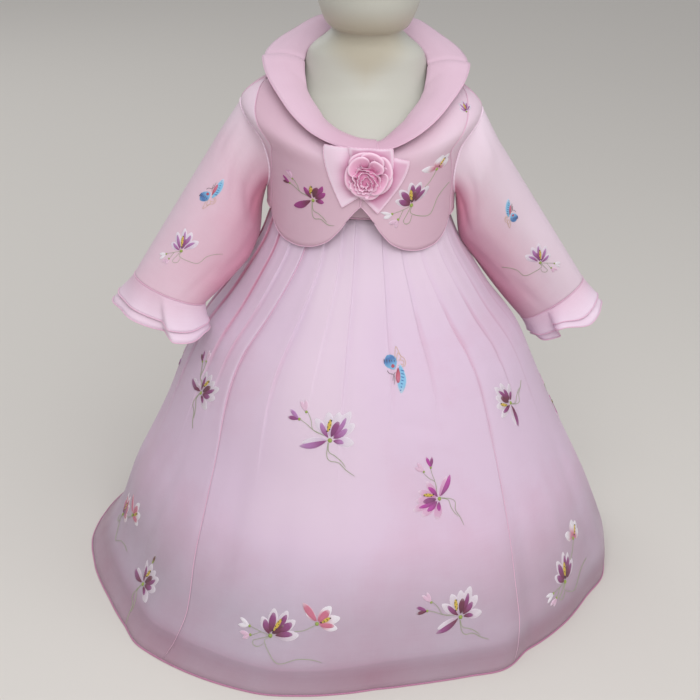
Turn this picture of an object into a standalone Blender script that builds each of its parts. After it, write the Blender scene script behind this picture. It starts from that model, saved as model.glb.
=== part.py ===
"""Child's hanbok on a plain display form.

Metres, +Z up. The wearer faces -Y, so +X is the viewer's right. The origin is
on the floor, in the middle of the skirt's hem. Angles go round from the front:
0 is the centre front, 90 the viewer's right, 180 the centre back.

Every piece of cloth is an open surface lofted through rings or sections, with
a Solidify modifier for its wall. Pieces that are sewn together stop GAP apart,
and a piece that lies on another is made from that piece's points moved out.
"""

import math

import bmesh
import bpy
from mathutils import Vector

# ---------------------------------------------------------------- sizes
GAP = 0.0003
WALL = 0.0012                 # organza and its facing
LINING_WALL = 0.0014
WAIST_Z = 0.417               # seam between bodice and skirt
LINING_TOP_Z = 0.409
LINING_HEM_Z = 0.026
SHOULDER_S = 0.72             # level of the shoulder tip on the jacket
ARM_MIDDLE, ARM_HEIGHT, ARM_SPREAD = 0.42, 0.30, 20.0
FORM_FOOT_Z = 0.362
POLE_RADIUS = 0.011
BASE_RADIUS, BASE_HEIGHT = 0.110, 0.012
ROSE = Vector((0.004, -0.1010, 0.4725))

SKIRT_COLUMNS = 4             # columns of faces in each pleat

# ---------------------------------------------------------------- tables
# The skirt without its pleats, level by level.
SKIRT_NAMES = ("z", "half_width", "half_depth", "shift_x")
SKIRT = (
    (0.000, 0.2835, 0.282, 0.000),
    (0.020, 0.2755, 0.274, 0.008),
    (0.050, 0.2635, 0.263, 0.013),
    (0.100, 0.2460, 0.243, 0.011),
    (0.140, 0.2280, 0.225, 0.0105),
    (0.180, 0.2095, 0.205, 0.009),
    (0.235, 0.1865, 0.182, 0.006),
    (0.280, 0.1655, 0.158, 0.005),
    (0.320, 0.1360, 0.130, 0.003),
    (0.350, 0.1170, 0.111, 0.002),
    (0.377, 0.1010, 0.094, 0.001),
    (0.400, 0.0920, 0.083, 0.000),
    (0.417, 0.0860, 0.076, 0.000),
)
SKIRT_LEVELS = (0.417, 0.404, 0.385, 0.355, 0.315, 0.268, 0.215, 0.160, 0.100, 0.045, 0.0007)

# How far the hem stands out, as it lies on the floor.
HEM_NAMES = ("angle", "radius")
HEM = (
    (-180, 0.280), (-150, 0.281), (-120, 0.284), (-90, 0.286), (-78, 0.281),
    (-66, 0.279), (-53, 0.2855), (-44, 0.296), (-32, 0.2965), (-17, 0.296),
    (-8, 0.288), (1, 0.278), (8, 0.271), (18, 0.269), (27, 0.272), (35, 0.279),
    (45, 0.268), (58, 0.269), (70, 0.272), (82, 0.285), (90, 0.287),
    (120, 0.286), (150, 0.282), (180, 0.280),
)

# The pleats: the angle of each fold at the waist, at z 0.29 and at the hem,
# its depth in mm and the height where it has opened out. A seam runs in four.
PLEAT_NAMES = ("waist", "middle", "hem", "depth", "end_z")
PLEATS = (
    (-88, -92, -93, 3.5, 0.20),
    (-72, -78, -80, 4.5, 0.20),
    (-57, -61, -66, 4.5, 0.22),
    (-44, -53, -53, 4.0, 0.25),
    (-32, -47, -38, 4.5, 0.20),      # seam
    (-20.5, -30, -27, 4.0, 0.22),
    (-10.5, -16, -16, 2.5, 0.28),
    (-2.8, -5.5, -6, 3.5, 0.22),
    (14, 10.3, 9, 3.0, 0.28),
    (25, 25, 23, 2.5, 0.28),
    (36.3, 43.5, 38, 4.0, 0.16),     # seam
    (51.5, 58, 54, 3.5, 0.24),
    (66, 70, 68, 4.0, 0.24),
    (80, 83, 82, 3.5, 0.24),
    (95, 96, 96, 3.5, 0.24),
    (110, 111, 110, 3.5, 0.24),
    (126, 126, 125, 3.5, 0.24),
    (141, 140, 140, 4.0, 0.20),      # seam
    (156, 155, 155, 3.5, 0.24),
    (172, 171, 171, 3.5, 0.24),
    (188, 188, 188, 3.5, 0.24),
    (204, 204, 204, 3.5, 0.24),
    (219, 220, 220, 4.0, 0.20),      # seam
    (234, 234, 234, 3.5, 0.24),
    (253, 251, 251, 3.5, 0.24),
)
SEAM_PLEATS = (4, 10, 17, 22)

# The jacket's body: rings from the hem (s 0) to the neckline (s 1).
JACKET_NAMES = ("s", "half_width", "front", "back", "z_front", "z_side", "z_back")
JACKET = (
    (0.00, 0.0955, 0.0955, 0.083, 0.408, 0.408, 0.404),
    (0.14, 0.0955, 0.0955, 0.083, 0.427, 0.427, 0.425),
    (0.30, 0.0965, 0.0955, 0.084, 0.446, 0.447, 0.447),
    (0.50, 0.1030, 0.0940, 0.085, 0.466, 0.479, 0.476),
    (0.72, 0.1205, 0.0900, 0.083, 0.481, 0.513, 0.508),
    (0.88, 0.0970, 0.0815, 0.073, 0.4855, 0.536, 0.545),
    (1.00, 0.0700, 0.0725, 0.062, 0.4885, 0.543, 0.566),
)

JACKET_LEVELS = (0.0, 0.06, 0.12, 0.18, 0.25, 0.33, 0.43, 0.54, 0.63, 0.69, 0.725, 0.80, 0.88, 1.0)

# The scalloped lower edge of each front, and the seam beside it.
SCALLOP_NAMES = ("angle", "z")
SCALLOP = (
    (0, 0.4370), (3, 0.4320), (6, 0.4260), (12, 0.4110), (20, 0.3970), (30, 0.3895),
    (40, 0.3870), (50, 0.3882), (59, 0.3930), (66, 0.4020), (70, 0.4100), (90, 0.4100),
)
PRINCESS_NAMES = ("s", "angle")
PRINCESS = ((0.0, 70), (0.25, 70), (0.45, 62), (0.60, 54), (0.72, 57), (0.80, 68), (0.88, 86), (1.0, 90))

# The collar: its roll next to the neck and its outer edge.
COLLAR_NAMES = ("angle", "roll_radius", "roll_z", "edge_radius", "edge_z")
COLLAR = (
    (-30, 0.0665, 0.5080, 0.0945, 0.5035),
    (-15, 0.0685, 0.5010, 0.0925, 0.4955),
    (0, 0.0690, 0.4970, 0.0920, 0.4925),
    (15, 0.0685, 0.5010, 0.0925, 0.4955),
    (30, 0.0665, 0.5080, 0.0945, 0.5035),
    (45, 0.0650, 0.5205, 0.0972, 0.5180),
    (60, 0.0637, 0.5310, 0.0985, 0.5345),
    (75, 0.0620, 0.5440, 0.1000, 0.5470),
    (90, 0.0612, 0.5545, 0.1005, 0.5565),
    (105, 0.0615, 0.5610, 0.0985, 0.5625),
    (125, 0.0597, 0.5685, 0.0925, 0.5715),
    (145, 0.0580, 0.5775, 0.0855, 0.5835),
    (180, 0.0560, 0.5850, 0.0800, 0.5900),
)

# The sleeves: the top and the underside of the flattened tube, station by station.
SLEEVE_NAMES = ("u", "top_x", "top_z", "under_x", "under_z", "half_depth", "shift_y")
SLEEVE = {
    "left": (
        (0.00, 0.1205, 0.5130, 0.0955, 0.4270, 0.032, 0.000),
        (0.14, 0.1385, 0.4890, 0.1005, 0.4030, 0.036, -0.004),
        (0.32, 0.1572, 0.4583, 0.1010, 0.3835, 0.038, -0.013),
        (0.52, 0.1771, 0.4254, 0.1080, 0.3622, 0.036, -0.027),
        (0.76, 0.2008, 0.3860, 0.1260, 0.3414, 0.032, -0.043),
        (1.00, 0.2243, 0.3470, 0.1528, 0.3180, 0.027, -0.062),
    ),
    "right": (
        (0.00, 0.1205, 0.5130, 0.0955, 0.4270, 0.032, 0.000),
        (0.14, 0.1325, 0.4870, 0.1010, 0.4075, 0.036, 0.003),
        (0.32, 0.1539, 0.4525, 0.1075, 0.3800, 0.037, 0.013),
        (0.52, 0.1790, 0.4136, 0.1290, 0.3470, 0.034, 0.024),
        (0.76, 0.2099, 0.3660, 0.1555, 0.3060, 0.031, 0.036),
        (1.00, 0.2418, 0.3172, 0.1785, 0.2700, 0.027, 0.047),
    ),
}
# The cuff ruffles: how far the upper one reaches past the cuff at its top,
# underside and front, and how much it stands out there; its waves; and, for each
# layer, its length against the upper one's and how far inside it is sewn.
RUFFLE = {
    "top_length": 0.019, "under_length": 0.017, "front_length": 0.0255,
    "top_flare": 0.008, "under_flare": 0.0150, "front_flare": 0.010, "wave": 0.0045,
}
RUFFLE_LAYERS = {"upper": (1.0, 0.0), "lower": (1.38, 0.0025)}
RUFFLE_WAVES = 5
RUFFLE_FOLD = {"left": 72.0, "right": 92.0}
RUFFLE_UNDER = {"left": 0.72, "right": -0.1}   # the right one is held in by the skirt

# The form, level by level.
FORM_NAMES = ("z", "half_width", "half_depth", "shift_y")
FORM = (
    (0.3620, 0.0600, 0.0530, 0.000), (0.3680, 0.0650, 0.0570, 0.000), (0.4000, 0.0720, 0.0620, 0.000),
    (0.4350, 0.0830, 0.0735, 0.000), (0.4620, 0.0884, 0.0768, 0.000), (0.4860, 0.0895, 0.0715, 0.000),
    (0.5060, 0.0865, 0.0610, 0.002), (0.5200, 0.0750, 0.0520, 0.004), (0.5310, 0.0580, 0.0440, 0.006),
    (0.5430, 0.0440, 0.0385, 0.007), (0.5580, 0.0375, 0.0355, 0.008), (0.5750, 0.0352, 0.0345, 0.008),
    (0.5880, 0.0345, 0.0340, 0.008), (0.5895, 0.0362, 0.0365, 0.006), (0.5935, 0.0405, 0.0430, 0.003),
    (0.6050, 0.0460, 0.0505, 0.001), (0.6220, 0.0510, 0.0570, 0.000), (0.6450, 0.0550, 0.0615, 0.000),
    (0.6700, 0.0560, 0.0635, 0.000), (0.6950, 0.0545, 0.0620, 0.001), (0.7180, 0.0490, 0.0565, 0.002),
    (0.7370, 0.0395, 0.0460, 0.003), (0.7500, 0.0270, 0.0320, 0.004), (0.7570, 0.0130, 0.0160, 0.004),
)
BODICE_NAMES = ("z", "half_width", "half_depth")
BODICE = ((0.4174, 0.0860, 0.0760), (0.4400, 0.0880, 0.0790), (0.4620, 0.0905, 0.0790), (0.4840, 0.0925, 0.0760))

# The ribbon leaves: x and z of four corners, in order round the leaf.
LEAVES = {
    "leaf_left": ((-0.0395, 0.4985), (-0.0120, 0.4960), (-0.0040, 0.4480), (-0.0200, 0.4350)),
    "leaf_right_high": ((0.0212, 0.4950), (0.0300, 0.4960), (0.0305, 0.4640), (0.0225, 0.4590)),
    "leaf_right_low": ((0.0250, 0.4905), (0.0465, 0.4800), (0.0430, 0.4590), (0.0140, 0.4310)),
}
LEAF_STAND = {"leaf_left": 0.0017, "leaf_right_high": 0.0052, "leaf_right_low": 0.0021}

PINK = (0.80, 0.56, 0.69)
LIGHT_PINK = (0.87, 0.66, 0.78)
DEEP_PINK = (0.76, 0.46, 0.62)
WHITE = (0.80, 0.78, 0.75)
STEEL = (0.55, 0.56, 0.58)


# ---------------------------------------------------------------- tools
def read(names, rows, name, at):
    """The named column at a place in the first one, joined by a smooth curve."""
    column = names.index(name) if name in names else 1
    at = min(max(at, rows[0][0]), rows[-1][0])
    i = 0
    while i < len(rows) - 2 and at > rows[i + 1][0]:
        i += 1
    x0, x1 = rows[i][0], rows[i + 1][0]
    y0, y1 = rows[i][column], rows[i + 1][column]
    slope = (y1 - y0) / (x1 - x0)

    def tangent(j):
        if j <= 0 or j >= len(rows) - 1:
            return slope
        before = (rows[j][column] - rows[j - 1][column]) / (rows[j][0] - rows[j - 1][0])
        after = (rows[j + 1][column] - rows[j][column]) / (rows[j + 1][0] - rows[j][0])
        return 0.0 if before * after <= 0 else 2 * before * after / (before + after)

    t = (at - x0) / (x1 - x0)
    h = x1 - x0
    return (
        (2 * t**3 - 3 * t**2 + 1) * y0 + (t**3 - 2 * t**2 + t) * h * tangent(i)
        + (3 * t**2 - 2 * t**3) * y1 + (t**3 - t**2) * h * tangent(i + 1)
    )


def smoothstep(a, b, x):
    t = min(max((x - a) / (b - a), 0.0), 1.0)
    return t * t * (3 - 2 * t)


def mix(a, b, t):
    return a + (b - a) * t


def on_ellipse(angle, half_width, half_depth):
    """A plan point at an angle from the front, as the ellipse's own parameter."""
    a = math.radians(angle)
    return half_width * math.sin(a), -half_depth * math.cos(a)


def wrap(angle):
    return (angle + 180.0) % 360.0 - 180.0


def normal_at(surface, a, b, da, db):
    along = surface(a + da, b) - surface(a - da, b)
    up = surface(a, b + db) - surface(a, b - db)
    return along.cross(up).normalized()


# ---------------------------------------------------------------- surfaces
def pleat_angle(pleat, z):
    waist, middle, hem = pleat[0], pleat[1], pleat[2]
    if z > 0.29:
        return mix(middle, waist, smoothstep(0.27, 0.41, z))
    return mix(hem, middle, smoothstep(0.0, 0.31, z))


def skirt_surface(angle, z, pleats=True):
    """The outside of the skirt at an angle and a height."""
    half_width = read(SKIRT_NAMES, SKIRT, "half_width", z)
    half_depth = read(SKIRT_NAMES, SKIRT, "half_depth", z)
    shift = read(SKIRT_NAMES, SKIRT, "shift_x", z)
    lobe = read(HEM_NAMES, HEM, "radius", wrap(angle)) / 0.2828 - 1.0
    swell = 1.0 + lobe * (1.0 - smoothstep(0.0, 0.21, z))
    inward = 0.0
    if pleats:
        for pleat in PLEATS:
            off = wrap(angle - pleat_angle(pleat, z))
            if abs(off) < 14:
                opened = smoothstep(pleat[4] - 0.06, pleat[4] + 0.09, z) * (1.0 - 0.65 * smoothstep(0.395, 0.417, z))
                shape = math.exp(-((off / 1.7) ** 2)) - 0.35 * math.exp(-(((off - 4.5) / 2.6) ** 2))
                inward += pleat[3] * 0.001 * opened * shape
    x, y = on_ellipse(angle, half_width * swell - inward, half_depth * swell - inward)
    return Vector((x + shift, y, z))


def lining_surface(angle, z):
    inset = mix(0.0036, 0.0082, smoothstep(0.10, 0.36, z))
    point = skirt_surface(angle, z, pleats=False)
    shift = read(SKIRT_NAMES, SKIRT, "shift_x", z)
    plan = Vector((point.x - shift, point.y))
    plan *= 1.0 - inset / plan.length
    return Vector((plan.x + shift, plan.y, z))


def jacket_surface(angle, s):
    """The outside of the jacket's body at an angle and a level."""
    half_width = read(JACKET_NAMES, JACKET, "half_width", s)
    angle = wrap(angle)
    front = math.cos(math.radians(angle))
    depth = read(JACKET_NAMES, JACKET, "front" if front > 0 else "back", s)
    x, y = on_ellipse(angle, half_width, depth)
    side_z = read(JACKET_NAMES, JACKET, "z_side", s)
    end_z = read(JACKET_NAMES, JACKET, "z_front" if front > 0 else "z_back", s)
    z = mix(side_z, end_z, front * front)
    if front > 0 and s < 0.30:
        hem = read(SCALLOP_NAMES, SCALLOP, "z", abs(angle))
        floor = mix(read(JACKET_NAMES, JACKET, "z_side", 0.0), read(JACKET_NAMES, JACKET, "z_front", 0.0), front * front)
        z += (hem - floor) * (1.0 - s / 0.30) ** 1.5
    x -= 0.003 * smoothstep(0.3, 0.72, s) * (1.0 - smoothstep(0.72, 1.0, s))   # worn a little to one side
    return Vector((x, y, z))


def armhole_angle(s, grow=0.0):
    """Half the armhole's spread in angle at a level, or 0 beyond it."""
    k = (s - ARM_MIDDLE) / (ARM_HEIGHT + grow * 0.012)
    return (ARM_SPREAD + grow) * math.sqrt(max(0.0, 1.0 - k * k))


def armhole_point(side, turn):
    """The armhole's edge: turn 0 is the shoulder tip, 90 the front, 180 the underarm."""
    t = math.radians(turn)
    s = ARM_MIDDLE + ARM_HEIGHT * math.cos(t)
    return jacket_surface(side * (90.0 - ARM_SPREAD * math.sin(t)), s)


def sleeve_surface(side, turn, u):
    """The outside of a sleeve: turn 0 is its top, 90 its front, 180 its underside."""
    rows = SLEEVE["left" if side < 0 else "right"]
    value = {name: read(SLEEVE_NAMES, rows, name, u) for name in SLEEVE_NAMES[1:]}
    t = math.radians(turn)
    top = Vector((side * value["top_x"], 0, value["top_z"]))
    under = Vector((side * value["under_x"], 0, value["under_z"]))
    c, s = math.cos(t), math.sin(t)
    middle = (top + under) / 2
    ring = middle + (top - under) / 2 * c
    ring.y = value["shift_y"] - value["half_depth"] * math.copysign(abs(s) ** 0.92, s)
    edge = armhole_point(side, turn) + Vector((side * 0.0005, 0, 0))
    return edge.lerp(ring, smoothstep(0.0, 0.16, u))


def ruffle_surface(side, turn, v, layer):
    """A ruffle from the cuff (v 0) to its free edge (v 1)."""
    name = "left" if side < 0 else "right"
    rows = SLEEVE[name]
    size, (reach, inset) = RUFFLE, RUFFLE_LAYERS[layer]
    v *= reach
    t = math.radians(turn)
    cuff = sleeve_surface(side, turn, 1.0)
    top = Vector((side * rows[-1][1], 0, rows[-1][2]))
    under = Vector((side * rows[-1][3], 0, rows[-1][4]))
    across = (top - under).normalized()
    along = Vector((across.z, 0, -across.x)) if across.x > 0 else Vector((-across.z, 0, across.x))
    middle = (top + under) / 2 + Vector((0, rows[-1][6], 0))
    out = (cuff - middle).normalized()
    share, face = (1 + math.cos(t)) / 2, math.sin(t) ** 2
    length = mix(mix(size["under_length"], size["top_length"], share), size["front_length"], face)
    flare = mix(mix(size["under_flare"] * RUFFLE_UNDER[name], size["top_flare"], share), size["front_flare"], face)
    fold = -math.cos(RUFFLE_WAVES * (t - math.radians(RUFFLE_FOLD[name])))
    start = cuff + along * (GAP + 0.0002)
    return start + along * (length * v * (1 + 0.05 * fold)) + out * (v * (0.75 + 0.25 * v) * (flare + size["wave"] * fold) - inset)


# ---------------------------------------------------------------- building
def clear_scene():
    for item in list(bpy.data.objects):
        bpy.data.objects.remove(item, do_unlink=True)


def make_material(name, colour, roughness, metallic=0.0):
    material = bpy.data.materials.new(name)
    material.use_nodes = True
    shader = material.node_tree.nodes["Principled BSDF"]
    shader.inputs["Base Color"].default_value = (*colour, 1.0)
    shader.inputs["Roughness"].default_value = roughness
    shader.inputs["Metallic"].default_value = metallic
    return material


def loft(name, rows, material, collection, closed=False, caps=False, flip=False):
    """A surface through rows of points, each row as long as the next."""
    mesh = bpy.data.meshes.new(name)
    shape = bmesh.new()
    grid = [[shape.verts.new(point) for point in row] for row in rows]
    count = len(rows[0])
    for low, high in zip(grid, grid[1:]):
        for i in range(count if closed else count - 1):
            j = (i + 1) % count
            corners = (low[i], low[j], high[j], high[i])
            shape.faces.new(corners[::-1] if flip else corners)
    if caps:
        shape.faces.new(grid[0] if flip else grid[0][::-1])
        shape.faces.new(grid[-1][::-1] if flip else grid[-1])
    bmesh.ops.triangulate(shape, faces=[f for f in shape.faces if len(f.verts) > 4])
    shape.to_mesh(mesh)
    shape.free()
    mesh.shade_smooth()
    mesh.materials.append(material)
    thing = bpy.data.objects.new(name, mesh)
    collection.objects.link(thing)
    return thing


def cloth(name, rows, material, collection, wall=WALL, closed=False, flip=False):
    """A loft with a cloth's wall on its inner side."""
    thing = loft(name, rows, material, collection, closed, flip=flip)
    solidify = thing.modifiers.new("wall", "SOLIDIFY")
    solidify.thickness = wall
    solidify.offset = -1.0
    solidify.use_even_offset = False
    return thing


def steps(start, end, count):
    return [start + (end - start) * i / count for i in range(count + 1)]


def build_form(materials, collection):
    rows = []
    for z, half_width, half_depth, shift in FORM:
        ring = []
        for i in range(24):
            x, y = on_ellipse(i * 15.0, half_width, half_depth)
            ring.append((x, y + shift, z))
        rows.append(ring)
    loft("form_body", rows, materials["form"], collection, closed=True, caps=True)
    bpy.ops.mesh.primitive_cylinder_add(
        vertices=16, radius=POLE_RADIUS, depth=FORM_FOOT_Z - BASE_HEIGHT - 2 * GAP,
        location=(0, 0, (FORM_FOOT_Z + BASE_HEIGHT) / 2))
    pole = bpy.context.object
    bpy.ops.mesh.primitive_cylinder_add(
        vertices=40, radius=BASE_RADIUS, depth=BASE_HEIGHT, location=(0, 0, BASE_HEIGHT / 2))
    base = bpy.context.object
    for thing, name in ((pole, "form_pole"), (base, "form_base")):
        thing.name = thing.data.name = name
        thing.data.materials.clear()
        thing.data.materials.append(materials["steel"])
        for other in list(thing.users_collection):
            other.objects.unlink(thing)
        collection.objects.link(thing)


def skirt_columns(first, last, z):
    """Angles across the pleats of one panel, from seam pleat to seam pleat."""
    count = len(PLEATS)
    angles = []
    here = first
    while True:
        a = pleat_angle(PLEATS[here % count], z)
        following = (here + 1) % count
        b = pleat_angle(PLEATS[following], z)
        while b < a - 180:
            b += 360
        if b < a:
            b += 360
        inside = min(2.0, 0.28 * (b - a))
        angles += [a, a + inside, (a + b) / 2, b - inside]
        here = following
        if here == last:
            break
    angles.append(b)
    return angles


def build_skirt(materials, collection):
    names = ("skirt_front", "skirt_side_right", "skirt_back", "skirt_side_left")
    for name, first, last in zip(names, SEAM_PLEATS, SEAM_PLEATS[1:] + SEAM_PLEATS[:1]):
        rows = []
        for z in SKIRT_LEVELS:
            angles = skirt_columns(first, last, z)
            for i in range(1, len(angles)):
                while angles[i] < angles[i - 1] - 180:
                    angles[i] += 360
            spare = math.degrees(0.6 * GAP / 0.076) * 0.076 / max(0.076, read(SKIRT_NAMES, SKIRT, "half_width", z))
            angles[0] += spare
            angles[-1] -= spare
            rows.append([skirt_surface(a, z) for a in angles])
        cloth(name, rows, materials["organza"], collection, flip=True)
    rows = [[lining_surface(a * 9.0, z) for a in range(40)] for z in (LINING_TOP_Z, *SKIRT_LEVELS[2:-1], LINING_HEM_Z)]
    cloth("skirt_lining", rows, materials["lining"], collection, LINING_WALL, closed=True, flip=True)
    rows = []
    for i in range(4):
        z = BODICE[i][0]
        rows.append([(*on_ellipse(a * 12.0, BODICE[i][1], BODICE[i][2]), z) for a in range(30)])
    cloth("dress_bodice", rows, materials["organza"], collection, closed=True)


def build_jacket(materials, collection):
    spare = 0.25
    for side, name in ((-1, "left"), (1, "right")):
        rows = []
        for s in JACKET_LEVELS:
            outer = read(PRINCESS_NAMES, PRINCESS, "angle", s) - spare
            rows.append([jacket_surface(side * a, s) for a in steps(0.15, outer, 8)])
        cloth("jacket_front_" + name, rows, materials["organza"], collection, flip=side < 0)

        # The side front runs up beside the armhole, and narrows to nothing at the shoulder.
        rows = []
        for s in JACKET_LEVELS[:-1]:
            inner = read(PRINCESS_NAMES, PRINCESS, "angle", s) + spare
            outer = 90.0 - spare - armhole_angle(s, 0.5)
            rows.append([jacket_surface(side * a, s) for a in steps(inner, outer, 3)])
        cloth("jacket_side_" + name, rows, materials["organza"], collection, flip=side < 0)
    rows = []
    for s in JACKET_LEVELS:
        edge = 90.0 + spare + armhole_angle(s, 0.5)
        rows.append([jacket_surface(a, s) for a in steps(edge, 360.0 - edge, 14)])
    cloth("jacket_back", rows, materials["organza"], collection)

    for side, name in ((-1, "left"), (1, "right")):
        turns = [i * 18.0 for i in range(20)]
        rows = [[sleeve_surface(side, t, u) for t in turns] for u in (0.0, 0.05, 0.10, 0.16, 0.26, 0.40, 0.55, 0.70, 0.85, 1.0)]
        cloth("sleeve_" + name, rows, materials["organza"], collection, closed=True, flip=side < 0)
        for layer in RUFFLE_LAYERS:
            turns = [i * 15.0 for i in range(24)]
            rows = [[ruffle_surface(side, t, v, layer) for t in turns] for v in (0.0, 0.35, 0.7, 1.0)]
            cloth("ruffle_" + layer + "_" + name, rows, materials["ruffle"], collection, 0.0010, closed=True, flip=side < 0)


def collar_section(angle, sink):
    """Five points across the collar, from its seam over the roll to its edge."""
    a = abs(wrap(angle))
    roll_radius, roll_z, edge_radius, edge_z = (read(COLLAR_NAMES, COLLAR, name, a) for name in COLLAR_NAMES[1:])
    seam = jacket_surface(angle, 1.0)
    way = Vector((math.sin(math.radians(angle)), -math.cos(math.radians(angle)), 0))
    section = [(math.hypot(seam.x, seam.y), seam.z + 0.0009)]
    for share, lift in ((0.0, -0.0025), (0.10, 0.0012), (0.50, 0.0036), (1.0, 0.0)):
        section.append((mix(roll_radius, edge_radius, share), mix(roll_z, edge_z, share) + lift))
    plan = Vector((seam.x, seam.y, 0)).normalized()
    points = []
    for i, (radius, z) in enumerate(section):
        before, after = section[max(i - 1, 0)], section[min(i + 1, 4)]
        run = Vector((after[0] - before[0], after[1] - before[1])).normalized()
        points.append((plan if i == 0 else way) * (radius + sink * run.y) + Vector((0, 0, z - sink * run.x)))
    return points


def build_collar(materials, collection):
    def sunk(angle):
        return 0.0021 * (1.0 - smoothstep(17.0, 34.0, angle)) if angle < 40 else 0.0

    left = [collar_section(-a, 0.0) for a in (179.8, 168, 154, 140, 126, 112, 98, 84, 70, 56, 42, 30, 20, 10, 0, -9)]
    right = [collar_section(a, sunk(a)) for a in (179.8, 168, 154, 140, 126, 112, 98, 84, 70, 56, 42, 34, 27, 18, 8, -2)]
    cloth("collar_left", left, materials["collar"], collection)
    cloth("collar_right", right, materials["collar"], collection, flip=True)


def front_y(x):
    return -0.0955 * math.sqrt(max(0.0, 1.0 - (x / 0.0955) ** 2))


def build_corsage(materials, collection):
    # The rolled centre: ridges of ribbon round and round, lower towards the rim.
    rows = []
    for depth, radius, ridge in ((0.0, 0.0050, 0.0), (0.0, 0.0095, 0.0), (0.0030, 0.0135, 0.3), (0.0070, 0.0142, 0.6),
                                 (0.0100, 0.0128, 1.0), (0.0088, 0.0108, 0.5), (0.0124, 0.0086, 1.0), (0.0108, 0.0064, 0.5),
                                 (0.0134, 0.0042, 0.8), (0.0120, 0.0018, 0.0)):
        ring = []
        for i in range(24):
            t = math.radians(i * 15.0)
            r = radius * (1.0 + 0.045 * ridge * math.sin(5 * t + radius * 700))
            out = depth + 0.0007 * ridge * math.sin(7 * t + radius * 900)
            ring.append((ROSE.x + r * math.sin(t), ROSE.y - out + 0.0050, ROSE.z + r * math.cos(t)))
        rows.append(ring)
    loft("rose_core", rows, materials["ribbon"], collection, closed=True, caps=True, flip=True)

    # The petals round it: a cup with five lobes and a pinched rim.
    rows = []
    for share in (0.0, 0.45, 1.0):
        ring = []
        for i in range(30):
            t = math.radians(i * 12.0)
            lobe = abs(math.cos(2.5 * t))
            r = mix(0.0149, 0.0166 + 0.0026 * lobe, share)
            out = mix(0.0028, 0.0074 + 0.0016 * lobe, share)
            ring.append((ROSE.x + r * math.sin(t), ROSE.y - out + 0.0050, ROSE.z + r * math.cos(t)))
        rows.append(ring)
    cloth("rose_petals", rows, materials["ribbon"], collection, 0.0010, closed=True, flip=True)

    for name, corners in LEAVES.items():
        (ax, az), (bx, bz), (cx, cz), (dx, dz) = corners
        rows = []
        for v in steps(0.0, 1.0, 5):
            row = []
            for u in steps(0.0, 1.0, 4):
                x = mix(mix(ax, bx, u), mix(dx, cx, u), v)
                z = mix(mix(az, bz, u), mix(dz, cz, u), v)
                bulge = 0.0018 * math.sin(math.pi * u) * math.sin(math.pi * min(v + 0.1, 1.0))
                row.append((x, front_y(x) - LEAF_STAND[name] - bulge, z))
            rows.append(row)
        cloth(name, rows, materials["ribbon"], collection, 0.0010, flip=True)


def main():
    clear_scene()
    collection = bpy.data.collections.new("childs_hanbok")
    bpy.context.scene.collection.children.link(collection)
    materials = {
        "organza": make_material("organza", PINK, 0.55),
        "lining": make_material("lining", LIGHT_PINK, 0.60),
        "collar": make_material("collar", LIGHT_PINK, 0.50),
        "ruffle": make_material("ruffle", PINK, 0.50),
        "ribbon": make_material("ribbon", DEEP_PINK, 0.45),
        "form": make_material("form", WHITE, 0.50),
        "steel": make_material("steel", STEEL, 0.35, 1.0),
    }
    build_form(materials, collection)
    build_skirt(materials, collection)
    build_jacket(materials, collection)
    build_collar(materials, collection)
    build_corsage(materials, collection)


main()
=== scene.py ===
"""Looks for a child's hanbok on a display form: organza, lining, frills, rose and embroidery.

Metres, +Z up; the wearer faces -Y. Angles go round from the front: 0 is the
centre front, 90 the viewer's right, 180 the centre back.
"""

import math

import bmesh
import bpy
from bpy.props import FloatProperty, FloatVectorProperty, PointerProperty
from mathutils import Matrix, Vector


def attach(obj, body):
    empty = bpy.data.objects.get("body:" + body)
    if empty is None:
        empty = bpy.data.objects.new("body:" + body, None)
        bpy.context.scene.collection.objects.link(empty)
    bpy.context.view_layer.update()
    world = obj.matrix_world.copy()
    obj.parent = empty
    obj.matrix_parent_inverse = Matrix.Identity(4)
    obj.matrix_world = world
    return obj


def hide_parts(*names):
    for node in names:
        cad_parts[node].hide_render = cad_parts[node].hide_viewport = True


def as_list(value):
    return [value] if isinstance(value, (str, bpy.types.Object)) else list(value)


bl_info = {
    "name": "Child's hanbok",
    "version": (1, 0, 0),
    "blender": (4, 5, 0),
    "location": "3D View > Sidebar > Hanbok",
    "description": "Makes the cloth, trimmings and embroidery of a child's hanbok round its packed frame",
    "category": "Object",
}

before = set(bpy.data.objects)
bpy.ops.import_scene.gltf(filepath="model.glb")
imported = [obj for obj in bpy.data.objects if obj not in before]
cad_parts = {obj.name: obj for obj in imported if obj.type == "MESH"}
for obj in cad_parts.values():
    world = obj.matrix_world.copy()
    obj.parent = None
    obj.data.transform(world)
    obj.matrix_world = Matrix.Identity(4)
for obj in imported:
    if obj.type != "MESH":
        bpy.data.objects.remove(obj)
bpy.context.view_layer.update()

# ---------------------------------------------------------------- cut and drape, as in the solids
# A millimetre, and the skirt's mean radius at the floor: for its lobes, and for a panel's width.
MM = 0.001
LOBE_RADIUS, HEM_RADIUS = 0.2828, 0.283

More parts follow.
